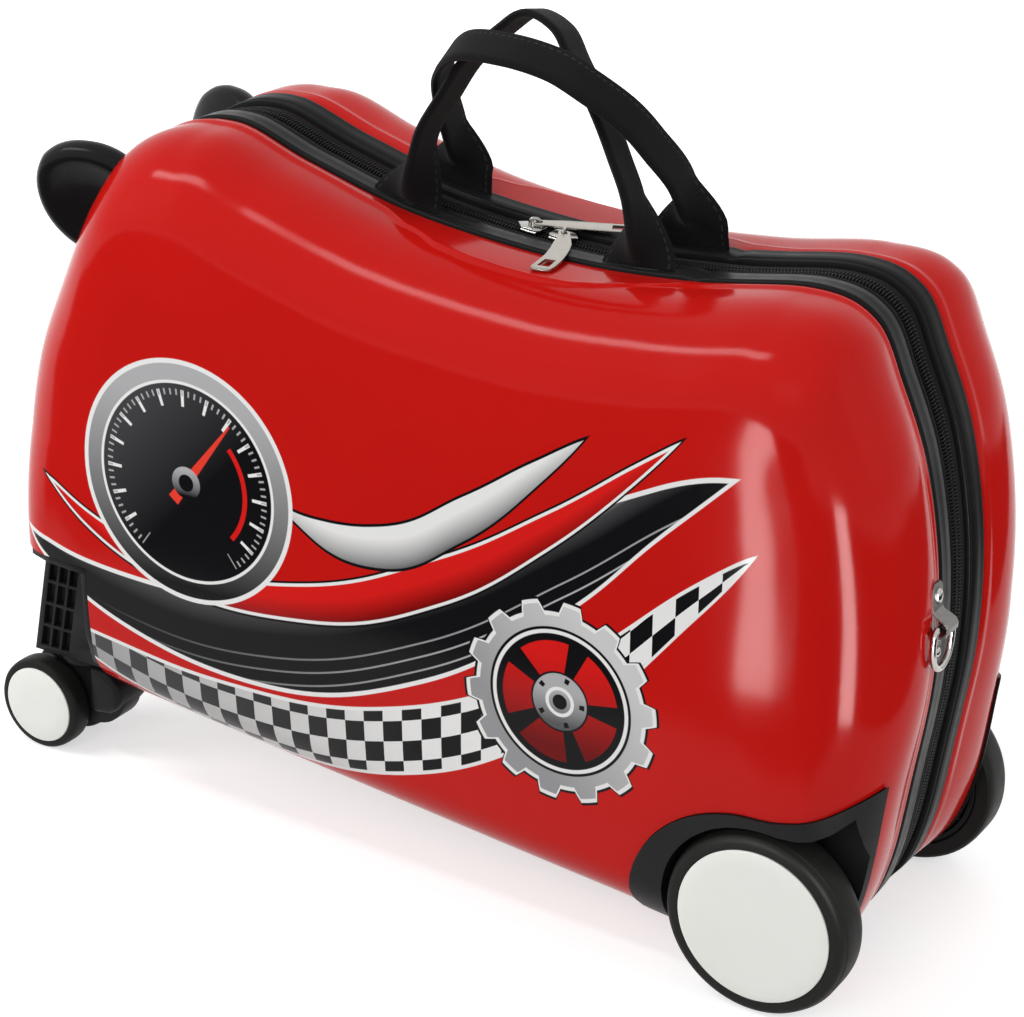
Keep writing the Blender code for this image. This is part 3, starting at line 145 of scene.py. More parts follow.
def parts_of(vector):
    """The three parts of a vector."""
    made = add_node(vector.owner, "ShaderNodeSeparateXYZ", {0: vector})
    return [Value(vector.owner, socket) for socket in made.outputs]


def grain(material, scale, detail=3.0, rough=0.55):
    """A value of a noise with this many features to the metre."""
    sockets = {"Vector": place_on(material), "Scale": scale, "Detail": detail, "Roughness": rough}
    return Value(material, add_node(material, "ShaderNodeTexNoise", sockets).outputs["Fac"])


def emboss(shader, height, distance):
    """Bumps the surface by a height of 0 to 1 over this distance."""
    sockets = {"Height": height, "Distance": distance, "Strength": 1.0}
    Value(height.owner, add_node(height.owner, "ShaderNodeBump", sockets).outputs[0]).feed(shader, "Normal")


# Camera, light and floor
WORLD_LIGHT = 0.36
FLOOR_GREY, CARD_GREY = (0.66, 0.66, 0.66), (0.02, 0.02, 0.02)
FLOOR_RADIUS, CARD_HEIGHT = 6.0, 0.003
# Distances between which the floor's own glow rises, and its first and last value.
GLOW_NEAR, GLOW_FAR = 0.45, 1.60
GLOW_LOW, GLOW_HIGH = 0.60, 1.0
# Name, place, what it faces, size and power of each lamp. Broad lamps light the case and aren't
# mirrored in it, the strip above does both, and the low strips are only mirrored.
BROAD_LAMPS = (
    ("lamp_left", (-1.30, -1.10, 0.90), (0.0, 0.0, 0.15), (0.70, 1.10), 10.0),
    ("lamp_right", (1.55, 0.10, 0.80), (0.1, 0.0, 0.15), (0.60, 1.00), 7.0),
    ("lamp_back", (0.00, 1.40, 1.10), (0.0, 0.0, 0.20), (1.50, 0.80), 8.0),
    ("lamp_front", (0.30, -1.60, 1.10), (0.0, 0.0, 0.15), (0.90, 0.60), 8.5),
)
HIGH_STRIP = ("strip_over", (-0.66, -0.52, 1.25), (-0.66, -0.07, 0.28), (0.76, 0.15), 5.0)
LOW_STRIPS = (
    ("strip_corner", (0.3195, -0.185, 0.145), (0.2054, -0.0728, 0.21), (0.042, 0.15), 0.62),
    ("strip_face", (0.118, -0.238, 0.145), (0.1830, -0.0804, 0.21), (0.034, 0.15), 0.42),
)


def place_camera():
    """The photograph's view."""
    data = bpy.data.cameras.new("camera")
    data.sensor_fit = "HORIZONTAL"
    data.sensor_width = 36.0
    data.lens = 98.56
    data.shift_x = 0.0501
    data.shift_y = 0.0284
    camera = bpy.data.objects.new("camera", data)
    camera.location = (0.6038, -0.9640, 0.6460)
    aim = Vector((-0.0122, 0.0, 0.1350)) - camera.location
    camera.rotation_euler = aim.to_track_quat("-Z", "Y").to_euler()
    bpy.context.scene.collection.objects.link(camera)
    bpy.context.scene.camera = camera


def softbox(name, place, aim, size, power, mirrored=True, lighting=True):
    """A rectangular lamp that faces a point. It can be left out of reflections or be only in them."""
    data = bpy.data.lights.new(name, "AREA")
    data.shape = "RECTANGLE"
    data.size, data.size_y = size
    data.energy = power
    lamp = bpy.data.objects.new(name, data)
    lamp.location = place
    lamp.rotation_euler = (Vector(aim) - Vector(place)).to_track_quat("-Z", "Y").to_euler()
    lamp.visible_camera = False
    lamp.visible_glossy = mirrored
    lamp.visible_diffuse = lighting
    bpy.context.scene.collection.objects.link(lamp)


def deselect_everything():
    for obj in bpy.context.selected_objects:
        obj.select_set(False)
    bpy.context.view_layer.objects.active = None


def dark_card(name, low, high):
    """A dark sheet on the floor that only gloss sees, as studios lay beside shiny goods."""
    low, high = Vector(low), Vector(high)
    bpy.ops.mesh.primitive_plane_add(size=1.0, location=(*(low + high) / 2, CARD_HEIGHT))
    card = bpy.context.object
    card.name = name
    card.scale = (*(high - low), 1.0)
    bpy.ops.object.transform_apply(location=True, rotation=True, scale=True)
    material, _ = new_finish(name, CARD_GREY, 0.9)
    card.data.materials.append(material)
    card.visible_camera = False
    card.visible_diffuse = False
    card.visible_shadow = False
    card.visible_transmission = False


def seen_directly(owner):
    """1 for rays that should meet the plain white studio: the camera's, and those off gloss."""
    rays = add_node(owner, "ShaderNodeLightPath").outputs
    camera, glossy, through = (
        Value(owner, rays[name]) for name in ("Is Camera Ray", "Is Glossy Ray", "Is Transmission Ray")
    )
    return camera.sum("MAXIMUM", glossy).sum("MAXIMUM", through)


def build_world():
    """White surroundings that light the case less than they show."""
    world = bpy.data.worlds.new("studio")
    bpy.context.scene.world = world
    world.use_nodes = True
    background = world.node_tree.nodes["Background"]
    background.inputs["Color"].default_value = (1.0, 1.0, 1.0, 1.0)
    seen_directly(world).ramp(0.0, 1.0, WORLD_LIGHT, 1.0).feed(background, "Strength")


def build_floor():
    """A pale floor that keeps the shadow and glows white further off."""
    bpy.ops.mesh.primitive_circle_add(
        vertices=96, radius=FLOOR_RADIUS, fill_type="NGON", location=(0, 0, 0)
    )
    floor = bpy.context.object
    floor.name = "floor"
    material, surface = new_finish(
        "pale_floor", FLOOR_GREY, 0.9, Specular_IOR_Level=0.0, Emission_Color=(1.0, 1.0, 1.0, 1.0)
    )
    away = add_node(material, "ShaderNodeVectorMath", {0: place_on(material)}, operation="LENGTH")
    reach = Value(material, away.outputs["Value"])
    spread = reach.ramp(GLOW_NEAR, GLOW_FAR, GLOW_LOW, GLOW_HIGH, interpolation_type="SMOOTHSTEP")
    (seen_directly(material) * spread).feed(surface, "Emission Strength")
    floor.data.materials.append(material)


bpy.context.scene.view_settings.view_transform = "Standard"
deselect_everything()
place_camera()
build_world()
build_floor()
softbox(*HIGH_STRIP)
for lamp in BROAD_LAMPS:
    softbox(*lamp, mirrored=False)
for lamp in LOW_STRIPS:
    softbox(*lamp, lighting=False)
dark_card("card_front", (-1.60, -1.60), (0.45, -0.28))
dark_card("card_right", (0.45, -1.60), (1.60, 1.10))


# Finishes
def mottled(name, base, dark, light, roughness, spread, clouds, gloss, skin, depth, **sockets):
    """Two near tones, an uneven gloss and a fine skin, each from its own noise.

    The shader's own base colour is covered by the tones, and shows only in plain views.
    """
    material, shader = new_finish(name, base, roughness, **sockets)
    grain(material, *clouds).mix(dark, light).feed(shader, "Base Color")
    grain(material, *gloss).ramp(0.3, 0.7, roughness - spread, roughness + spread).feed(shader, "Roughness")
    emboss(shader, grain(material, *skin), depth)
    return material


def moulded_plastic(name, dark, light, roughness, spread, scale, depth, ior=1.22):
    """Moulded plastic with a fine moulded skin."""
    noises = (38.0, 4.0), (160.0, 4.0, 0.7), (scale, 2.0)
    return mottled(name, dark, dark, light, roughness, spread, *noises, depth, IOR=ior)


def cast_metal(name, dark, light, roughness, spread, scale, depth):
    """Plated or rolled metal with faint wear."""
    noises = (420.0, 5.0, 0.65), (900.0, 3.0), (scale, 3.0)
    return mottled(name, light, dark, light, roughness, spread, *noises, depth, Metallic=1.0)


# Two rows of stitches on the webbing: the middle of its map across, the rows' distance from
# there and the stitches' pitch.
STITCH_MIDDLE, STITCH_ROW, STITCH_PITCH = 0.0344, 0.0200, 0.0032
STITCH_GREY = (0.024, 0.024, 0.026)


def woven_cloth(name, dark, light, warp, weft, depth, sewn=False):
    """Cloth whose threads follow the piece's own map, in metres along and across it."""
    material, shader = new_finish(name, dark, 0.86, IOR=1.20, Sheen_Weight=0.06, Sheen_Roughness=0.5)
    flat = Value(material, add_node(material, "ShaderNodeUVMap", uv_map="cloth").outputs[0])
    along, across, _ = parts_of(flat)
    threads = (along * (math.tau / warp)).sine() * (across * (math.tau / weft)).sine()
    height = threads.ramp(-1.0, 1.0) + grain(material, 2600.0, 2.0) * 0.5
    # The colour follows the weave's height and is darker in its dips: painted shade between the threads,
    # with some random tone from the fuzz noise.
    colour = height.sum("MULTIPLY", 0.65, clamp=True).mix(dark, light)
    if sewn:
        off = abs(abs(across - STITCH_MIDDLE) - STITCH_ROW)
        wave = (along * (math.tau / STITCH_PITCH)).sine()
        stitch = off.ramp(0.00045, 0.00025) * wave.ramp(-0.45, -0.15)
        height = height - off.ramp(0.0016, 0.0004, 0.0, 0.8) + stitch * 2.2
        colour = stitch.mix(colour, STITCH_GREY)
    colour.feed(shader, "Base Color")
    emboss(shader, height, depth)
    return material


TRIM_BLACK = moulded_plastic(
    "trim_black", (0.0085, 0.0090, 0.0090), (0.0130, 0.0135, 0.0135), 0.33, 0.05, 2400.0, 0.00002, 1.15
)
HORN_BLACK = moulded_plastic(
    "horn_black", (0.0075, 0.0078, 0.0080), (0.0105, 0.0108, 0.0110), 0.24, 0.04, 900.0, 0.00002
)
HOUSING_BLACK = moulded_plastic(
    "housing_black", (0.0080, 0.0083, 0.0085), (0.0125, 0.0128, 0.0130), 0.40, 0.05, 3200.0, 0.00003
)
HUB_BLACK = moulded_plastic(
    "hub_black", (0.0075, 0.0077, 0.0078), (0.0120, 0.0122, 0.0122), 0.46, 0.05, 2600.0, 0.00003
)
TYRE_BLACK = moulded_plastic(
    "tyre_black", (0.0085, 0.0085, 0.0078), (0.0130, 0.0130, 0.0120), 0.50, 0.06, 1800.0, 0.00004
)
CAP_WHITE = moulded_plastic(
    "cap_white", (0.850, 0.865, 0.815), (0.890, 0.905, 0.860), 0.36, 0.04, 1500.0, 0.00001
)
COIL_BLACK = moulded_plastic(
    "coil_black", (0.0075, 0.0075, 0.0080), (0.0140, 0.0140, 0.0145), 0.42, 0.06, 5000.0, 0.00001
)
NICKEL = cast_metal("nickel", (0.42, 0.40, 0.36), (0.58, 0.55, 0.50), 0.30, 0.07, 1900.0, 0.00005)
BRIGHT_STEEL = cast_metal(
    "bright_steel", (0.40, 0.39, 0.37), (0.56, 0.55, 0.53), 0.14, 0.05, 800.0, 0.00001
)
DULL_STEEL = cast_metal("dull_steel", (0.16, 0.155, 0.15), (0.27, 0.26, 0.25), 0.34, 0.06, 2000.0, 0.00002)
WEBBING_BLACK = woven_cloth(
    "webbing_black", (0.0030, 0.0030, 0.0034), (0.0100, 0.0100, 0.0108), 0.0011, 0.0009, 0.00012, sewn=True
)
TAPE_BLACK = woven_cloth(
    "tape_black", (0.0025, 0.0025, 0.0028), (0.0080, 0.0080, 0.0085), 0.0007, 0.0009, 0.00008
)


def shell_red(name):
    """Glossy red moulded plastic: its material, its shader, and the red that the shader takes."""
    material, shader = new_finish(name, (0.52, 0.008, 0.006), 0.13, IOR=1.20)
    red = grain(material, 14.0, 3.0).mix((0.50, 0.0070, 0.0050), (0.56, 0.0085, 0.0060))
    grain(material, 220.0, 5.0, 0.7).ramp(0.3, 0.75, 0.11, 0.16).feed(shader, "Roughness")
    emboss(shader, grain(material, 210.0, 2.0), 0.00002)
    return material, shader, red


def plain_red():
    material, shader, red = shell_red("shell_red")
    red.feed(shader, "Base Color")
    return material


SHELL_RED = plain_red()


# Printed face
FACE_LOW, FACE_HIGH = -0.2200, 0.2000
PRINT_EDGE = 0.00030
WHITE, INK = (0.80, 0.80, 0.79), (0.006, 0.006, 0.007)
PALE, GREY = (0.42, 0.42, 0.43), (0.10, 0.10, 0.105)
BRIGHT_RED, DEEP_RED = (0.66, 0.012, 0.010), (0.16, 0.003, 0.003)
DIAL, COG = (-0.1020, 0.1700), (0.0880, 0.1160)
NEEDLE_TURN, NEEDLE_RED = math.radians(52), (0.78, 0.05, 0.03)
SQUARE = 0.0100


def inside(distance, soft=PRINT_EDGE):
    """1 where the distance out from an edge is below 0."""
    return distance.sum("MULTIPLY_ADD", -1.0 / soft, 0.5, clamp=True)


def near(value, middle, half, soft=PRINT_EDGE):
    return inside(abs(value - middle) - half, soft)


class Drawing:
    """The printed half as a sheet to draw on, x along it and z up, one layer over another."""

    def __init__(self):
        self.material, self.shader, self.red = shell_red("printed_red")
        self.x, self.depth, self.z = parts_of(place_on(self.material))
        self.along = self.x.ramp(FACE_LOW, FACE_HIGH)
        self.shown = self.red

    def paint(self, colour, share):
        self.shown = share.mix(self.shown, colour)

    def nest(self, distance, *layers):
        """Paints a shape in colours, each as far past the shape's edge as its margin says."""
        for margin, colour in layers:
            self.paint(colour, inside(distance - margin))

    def curve(self, points, low, high):
        """A value drawn along the face as a smooth curve."""
        made = add_node(self.material, "ShaderNodeFloatCurve", {"Value": self.along})
        line = made.mapping.curves[0]
        while len(line.points) < len(points):
            line.points.new(0.5, 0.5)
        for point, (u, v) in zip(line.points, points):
            point.location = ((u - FACE_LOW) / (FACE_HIGH - FACE_LOW), (v - low) / (high - low))
        made.mapping.use_clip = False
        made.mapping.update()
        return Value(self.material, made.outputs[0]).sum("MULTIPLY_ADD", high - low, low)

    def ribbon(self, middle, half):
        """Height over a swept middle line, and the distance outside the ribbon's edge."""
        over = self.z - self.curve(middle, 0.0, 0.30)
        return over, (abs(over) - self.curve(half, -0.01, 0.04)) * 0.92

    def around(self, centre):
        """Ways along, up and out from a place on the face, and the angle round it."""
        dx, dz = self.x - centre[0], self.z - centre[1]
        return dx, dz, (dx * dx + dz * dz).sum("SQRT"), dz.sum("ARCTAN2", dx)


# Middle line and half width of each ribbon.
BAND_LINE = (
    (-0.205, 0.094), (-0.150, 0.072), (-0.080, 0.062), (0.000, 0.072), (0.080, 0.112), (0.150, 0.178),
    (0.185, 0.214),
)
BAND_HALF = (
    (-0.205, -0.004), (-0.175, 0.004), (-0.120, 0.0118), (-0.020, 0.0150), (0.090, 0.0135),
    (0.150, 0.0060), (0.178, -0.004),
)
DARK_LINE = (
    (-0.205, 0.128), (-0.140, 0.104), (-0.060, 0.104), (0.020, 0.132), (0.090, 0.178), (0.145, 0.220),
    (0.180, 0.240),
)
DARK_HALF = (
    (-0.205, -0.004), (-0.175, 0.006), (-0.100, 0.0165), (-0.010, 0.0240), (0.070, 0.0220),
    (0.130, 0.0100), (0.170, -0.004),
)
BRIGHT_LINE = (
    (-0.190, 0.160), (-0.120, 0.126), (-0.040, 0.128), (0.030, 0.156), (0.080, 0.190), (0.120, 0.224),
    (0.150, 0.252),
)
BRIGHT_HALF = (
    (-0.190, -0.004), (-0.160, 0.003), (-0.060, 0.0070), (0.030, 0.0100), (0.090, 0.0066),
    (0.130, 0.0010), (0.145, -0.004),
)
PALE_LINE = (
    (-0.080, 0.200), (-0.040, 0.166), (0.000, 0.164), (0.040, 0.186), (0.075, 0.214), (0.110, 0.246),
)
PALE_HALF = (
    (-0.080, -0.004), (-0.050, 0.001), (-0.010, 0.0088), (0.040, 0.0100), (0.080, 0.0046), (0.104, -0.004),
)


def draw_band(art):
    """A checkered band, low across the face."""
    over, gap = art.ribbon(BAND_LINE, BAND_HALF)
    flat = add_node(art.material, "ShaderNodeCombineXYZ", {0: art.x, 1: over, 2: 0.00001})
    sockets = {
        "Vector": Value(art.material, flat.outputs[0]),
        "Color1": (*WHITE, 1.0),
        "Color2": (*INK, 1.0),
        "Scale": 1 / SQUARE,
    }
    squares = Value(art.material, add_node(art.material, "ShaderNodeTexChecker", sockets).outputs["Color"])
    shaded = art.x.ramp(0.02, -0.19, 0.0, 0.75).mix(squares, GREY)
    art.nest(gap, (0.0017, WHITE), (0.0, shaded))


def draw_dark_ribbon(art):
    """A dark ribbon with a lit upper edge and fine lines."""
    over, gap = art.ribbon(DARK_LINE, DARK_HALF)
    dark = over.ramp(0.004, 0.022).mix(INK, GREY)
    lit = over.ramp(0.013, 0.021) * art.x.ramp(-0.08, 0.08) * 0.75
    dark = lit.mix(dark, PALE)
    lines = near((over + 0.10).sum("PINGPONG", 0.0032), 0.0032, 0.00045, 0.0002)
    lines = lines * inside(over + 0.006, 0.004) * art.x.ramp(-0.16, 0.06)
    art.nest(gap, (0.0020, WHITE), (0.0, lines.mix(dark, PALE)))


def draw_bright_ribbon(art):
    over, gap = art.ribbon(BRIGHT_LINE, BRIGHT_HALF)
    shaded = over.ramp(0.002, -0.010).mix(BRIGHT_RED, DEEP_RED)
    art.nest(gap, (0.0024, INK), (0.0014, WHITE), (0.0, shaded))


def draw_pale_ribbon(art):
    """A pale ribbon that runs out at the top."""
    over, gap = art.ribbon(PALE_LINE, PALE_HALF)
    art.nest(gap, (0.0013, INK), (0.0, over.ramp(0.004, -0.011).mix(WHITE, GREY)))


def draw_dial(art):
    """A plain dial: a ring, a dark glass, two rows of marks, a red zone and a needle."""
    dx, dz, r, turn = art.around(DIAL)
    ring = dz.ramp(0.04, -0.05).mix(PALE, INK)
    glass = (dz - dx).ramp(-0.01, 0.06).mix(INK, (0.055, 0.056, 0.060))
    art.nest(r, (0.0570, WHITE), (0.0548, ring), (0.0472, WHITE), (0.0458, glass))
    open_part = inside((turn + math.pi / 2).sum("COSINE").sum("MULTIPLY_ADD", 0.02, -0.0160))
    big = inside((abs((turn * 10.0).sine()) - 0.20) * 0.0040)
    art.paint(WHITE, near(r, 0.0395, 0.0038) * big * open_part)
    small = inside((abs((turn * 40.0).sine()) - 0.40) * 0.0010)
    art.paint(PALE, near(r, 0.0420, 0.0014) * small * open_part)
    art.paint(BRIGHT_RED, near(r, 0.0318, 0.0012) * inside((abs(turn) - 0.72) * 0.03))
    wide, tall = math.cos(NEEDLE_TURN), math.sin(NEEDLE_TURN)
    reach, aside = dx * wide + dz * tall, dx * tall - dz * wide
    width = reach.ramp(-0.012, 0.040, 0.0030, 0.0004)
    art.paint(NEEDLE_RED, inside(abs(aside) - width) * near(reach, 0.0140, 0.0260))
    art.nest(r, (0.0076, dz.ramp(0.006, -0.006).mix(PALE, INK)), (0.0040, INK))


def draw_cog(art):
    """A toothed wheel with five windows, and a hub with bolts."""
    dx, dz, r, turn = art.around(COG)
    teeth = (turn * 14.0).sine().ramp(-0.35, 0.35, 0.0, 0.0050)
    metal = (dz + dx).ramp(-0.04, 0.05).mix((0.30, 0.30, 0.31), (0.60, 0.60, 0.60))
    art.nest(r - 0.0385 - teeth, (0.0030, INK), (0.0018, WHITE), (0.0, metal))
    art.nest(r, (0.0335, INK), (0.0322, WHITE), (0.0305, INK))
    spokes = abs((turn * 2.5).sine())
    window = near(r, 0.0205, 0.0068) * inside((spokes - 0.42) * -0.02)
    art.paint(dz.ramp(-0.02, 0.02).mix(DEEP_RED, BRIGHT_RED), window)
    art.nest(r, (0.0128, dz.ramp(0.005, -0.01).mix(PALE, GREY)))
    art.paint(INK, near(r, 0.0105, 0.0012) * inside((spokes - 0.26) * 0.01))
    art.paint(WHITE, near(r, 0.0060, 0.0008))
    art.nest(r, (0.0034, INK))


def printed_face():
    """A made-up racing design: swept ribbons, a checkered band, a dial and a cog."""
    art = Drawing()
    draw_band(art)
    draw_dark_ribbon(art)
    draw_bright_ribbon(art)
    draw_pale_ribbon(art)
    draw_dial(art)
    draw_cog(art)
    off_face = art.depth.ramp(-0.0640, -0.0660, 1.0, 0.0)
    off_face.mix(art.shown, art.red).feed(art.shader, "Base Color")
    return art.material


PRINTED_RED = printed_face()


# Ways to make a piece
def select_only(obj):
    deselect_everything()
    obj.select_set(True)
    bpy.context.view_layer.objects.active = obj


def edit_all(obj):
    """Opens a piece in edit mode, with all of it selected."""
    select_only(obj)
    bpy.ops.object.mode_set(mode="EDIT")
    bpy.ops.mesh.select_all(action="SELECT")


def close_outwards():
    """Turns the faces of the open piece outward and leaves edit mode."""
    bpy.ops.mesh.select_all(action="SELECT")
    bpy.ops.mesh.normals_make_consistent(inside=False)
    bpy.ops.object.mode_set(mode="OBJECT")


def apply_modifiers(obj):
    bpy.context.view_layer.objects.active = obj
    for modifier in list(obj.modifiers):
        bpy.ops.object.modifier_apply(modifier=modifier.name)


def settle(obj, material, body, node, smooth):
    """Gives a finished piece its place, finish, body and the node that it stands for."""
    select_only(obj)
    apply_modifiers(obj)
    bpy.ops.object.transform_apply(location=True, rotation=True, scale=True)
    bpy.ops.object.shade_smooth_by_angle(angle=math.radians(smooth))
    obj.data.materials.clear()
    obj.data.materials.append(material)
    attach(obj, body)
    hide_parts(node)
    obj.select_set(False)


def mirrored(obj, name):
    """The same piece on the other side of the middle plane."""
    copy = obj.copy()
    copy.data = obj.data.copy()
    copy.name = name
    bpy.context.scene.collection.objects.link(copy)
    copy.data.transform(Matrix.Scale(-1, 4, (0, 1, 0)))
    copy.data.flip_normals()
    return copy


def on_back(name):
    return name.replace("front", "back")


def add_pair(front, finish, body, smooth, node=None, back_finish=None):
    """Settles a piece of the front half, and its mirror image on the back half."""
    node = node or front.name.split(".")[0]
    back = mirrored(front, on_back(front.name))
    settle(front, finish, body, node, smooth)
    settle(back, back_finish or finish, on_back(body), on_back(node), smooth)


def begin_at(name, place):
    """A piece that starts as one point, open in edit mode."""
    deselect_everything()
    bpy.ops.mesh.primitive_plane_add(size=0.002, location=place)
    obj = bpy.context.object
    obj.name = name
    bpy.ops.object.transform_apply(location=True, rotation=True, scale=True)
    edit_all(obj)
    bpy.ops.mesh.merge(type="CENTER")
    return obj


def draw_on(points):
    """Extrudes the selected point along these points."""
    for before, after in zip(points, points[1:]):
        step = Vector(after) - Vector(before)
        bpy.ops.mesh.extrude_vertices_move(TRANSFORM_OT_translate={"value": step})
    bpy.ops.mesh.select_all(action="SELECT")


def turned(name, profile, centre, axis=(0.0, -1.0, 0.0), steps=64, closed=False):
    """A profile of (radius, height) pairs spun about an axis through the centre."""
    axis = Vector(axis).normalized()
    out = axis.orthogonal().normalized()
    points = [Vector(centre) + out * r + axis * h for r, h in profile]
    if closed:
        points.append(points[0])
    obj = begin_at(name, points[0])
    draw_on(points)
    bpy.ops.mesh.spin(steps=steps, angle=math.tau, center=centre, axis=axis)
    bpy.ops.mesh.select_all(action="SELECT")
    bpy.ops.mesh.remove_doubles(threshold=0.000012)
    close_outwards()
    return obj


def slab(name, points, depth):
    """A flat outline filled and extruded by a vector."""
    points = [Vector(p) for p in points]
    obj = begin_at(name, points[0])
    draw_on(points)
    bpy.ops.mesh.edge_face_add()
    bpy.ops.mesh.extrude_region_move(TRANSFORM_OT_translate={"value": Vector(depth)})
    close_outwards()
    return obj


def soften(obj, width, segments=3, angle=30.0):
    """Rounds the sharp edges when the piece's modifiers are applied."""
    bevel = obj.modifiers.new("soften", "BEVEL")
    bevel.width = width
    bevel.segments = segments
    bevel.limit_method = "ANGLE"
    bevel.angle_limit = math.radians(angle)
    return obj


def rounded(obj, width, segments=3):
    """Rounds the sharp edges at once."""
    apply_modifiers(soften(obj, width, segments))
    return obj


def use_other(obj, other, operation):
    """Cuts with, joins or keeps what is common with another mesh, which is then removed."""
    boolean = obj.modifiers.new(operation.lower(), "BOOLEAN")
    boolean.operation = operation
    boolean.object = other
    deselect_everything()
    apply_modifiers(obj)
    bpy.data.objects.remove(other, do_unlink=True)
    return obj


def cut_away(obj, other):
    return use_other(obj, other, "DIFFERENCE")


def joined(obj, other):
    return use_other(obj, other, "UNION")


def bar(name, start, end, radius, segments=24):
    """A round bar between two points."""
    start, end = Vector(start), Vector(end)
    deselect_everything()
    bpy.ops.mesh.primitive_cylinder_add(
        vertices=segments,
        radius=radius,
        depth=(end - start).length,
        location=(start + end) / 2,
        rotation=(end - start).to_track_quat("Z", "Y").to_euler(),
    )
    bpy.context.object.name = name
    return bpy.context.object


def block(name, low, high):
    """A box between two corners."""
    low, high = Vector(low), Vector(high)
    deselect_everything()
    bpy.ops.mesh.primitive_cube_add(size=1.0, location=(low + high) / 2)
    obj = bpy.context.object
    obj.name = name
    obj.scale = high - low
    bpy.ops.object.transform_apply(location=True, rotation=True, scale=True)
    return obj


def linked(name, mesh):
    """A mesh as an object of the scene."""
    obj = bpy.data.objects.new(name, mesh)
    bpy.context.scene.collection.objects.link(obj)
    return obj


def cad_copy(name, node):
    """A copy of a node's solid, with its loose triangles merged."""
    obj = linked(name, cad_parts[node].data.copy())
    edit_all(obj)
    bpy.ops.mesh.remove_doubles(threshold=0.00001)
    bpy.ops.mesh.dissolve_limited(angle_limit=math.radians(1.0))
    bpy.ops.object.mode_set(mode="OBJECT")
    return obj


def mesh_of(name, points, faces, cloth=()):
    """A mesh from its points and faces, for forms that no primitive gives. cloth is its map."""
    mesh = bpy.data.meshes.new(name)
    mesh.from_pydata([tuple(p) for p in points], [], faces)
    mesh.update()
    if cloth:
        layer = mesh.uv_layers.new(name="cloth")
        for loop in mesh.loops:
            layer.data[loop.index].uv = cloth[loop.index]
    obj = linked(name, mesh)
    edit_all(obj)
    close_outwards()
    return obj


def skin_faces(rows, count, closed=False, base=0):
    """Faces over rows of as many points each, shut at both ends unless the rows close up."""
    faces = []
    for r in range(rows if closed else rows - 1):
        low, high = base + r * count, base + (r + 1) % rows * count
        for i in range(count):
            j = (i + 1) % count
            faces.append((low + i, low + j, high + j, high + i))
    if not closed:
        ends = (base, base + (rows - 1) * count)
        faces += [tuple(range(first, first + count)) for first in ends]
    return faces


def skinned(name, rings, closed=False, lengths=None, widths=None):
    """A skin over rings of as many points each. lengths and widths map cloth onto an open one."""
    rows, count = len(rings), len(rings[0])
    cloth = []
    if lengths:
        for r in range(rows - 1):
            for i in range(count):
                corners = (r, i), (r, i + 1), (r + 1, i + 1), (r + 1, i)
                cloth += [(lengths[along], widths[across]) for along, across in corners]
        cloth += [(0.0, 0.0)] * (2 * count)
    points = [p for ring in rings for p in ring]
    return mesh_of(name, points, skin_faces(rows, count, closed), cloth)


# Form of the case
LINE_STEPS = 24


def heading(line, i, closed=False):
    """Way that a line takes at one of its points, not of unit length."""
    if closed:
        return line[(i + 1) % len(line)] - line[i - 1]
    return line[min(i + 1, len(line) - 1)] - line[max(i - 1, 0)]


def running_length(points):
    """Distance along a line at each of its points."""
    lengths = [0.0]
    for a, b in zip(points, points[1:]):
        lengths.append(lengths[-1] + (Vector(b) - Vector(a)).length)
    return lengths


def steps_along(lengths, goals):
    """For each goal the step of a line that holds it, and the share of that step before it."""
    found, k = [], 0
    for goal in goals:
        while k < len(lengths) - 2 and lengths[k + 1] < goal:
            k += 1
        share = (goal - lengths[k]) / max(lengths[k + 1] - lengths[k], 1e-9)
        found.append((k, min(share, 1.0)))
    return found


def smooth_line(points, closed, count, turn_length=0.0):
    """Points at even steps along a smooth line through the given ones. Turns can count as length."""
    points = [Vector(p) for p in points]
    total = len(points)
    fine = []
    for i in range(total if closed else total - 1):
        if closed:
            a, b, c, d = (points[(i + k) % total] for k in (-1, 0, 1, 2))
        else:
            b, c = points[i], points[i + 1]
            a = points[i - 1] if i else b + (b - c)
            d = points[i + 2] if i + 2 < total else c + (c - b)
        bend, twist = 2 * a - 5 * b + 4 * c - d, 3 * b - 3 * c + d - a
        for step in range(LINE_STEPS):
            t = step / LINE_STEPS
            fine.append(0.5 * (2 * b + (c - a) * t + bend * t * t + twist * t**3))
    fine.append(points[0 if closed else -1].copy())
    lengths = [0.0]
    for k in range(1, len(fine)):
        step = fine[k] - fine[k - 1]
        before = fine[k - 1] - fine[k - 2] if k > 1 else step
        lengths.append(lengths[-1] + step.length + turn_length * step.angle(before, 0.0))
    steps = count if closed else count - 1
    found = steps_along(lengths, [lengths[-1] * i / steps for i in range(count)])
    return [fine[k].lerp(fine[k + 1], share) for k, share in found]


def resampled(points, distances):
    """Points of a line at these distances from its start, with the directions there."""
    lengths = running_length(points)
    found = steps_along(lengths, [min(goal, lengths[-1]) for goal in distances])
    return [
        (points[k].lerp(points[k + 1], share), (points[k + 1] - points[k]).normalized())
        for k, share in found
    ]


# Length that a turn of one radian counts for, so that corners get more steps.
CORNER_LENGTH = 0.03
SIDE = smooth_line(
    [(CASE_LENGTH * u + CASE_SHIFT, CASE_LOW_Z + CASE_HEIGHT * v) for u, v in SIDE_SHAPE],
    True,
    OUTLINE_STEPS,
    CORNER_LENGTH,
)


def side_normals():
    """Directions out of the side outline, made even along it."""
    found = []
    for i in range(OUTLINE_STEPS):
        along = heading(SIDE, i, True)
        found.append(Vector((-along.y, along.x)).normalized())
    for _ in range(2):
        found = [
            (found[i - 1] + 2 * found[i] + found[(i + 1) % OUTLINE_STEPS]).normalized()
            for i in range(OUTLINE_STEPS)
        ]
    return found


NORMALS = side_normals()


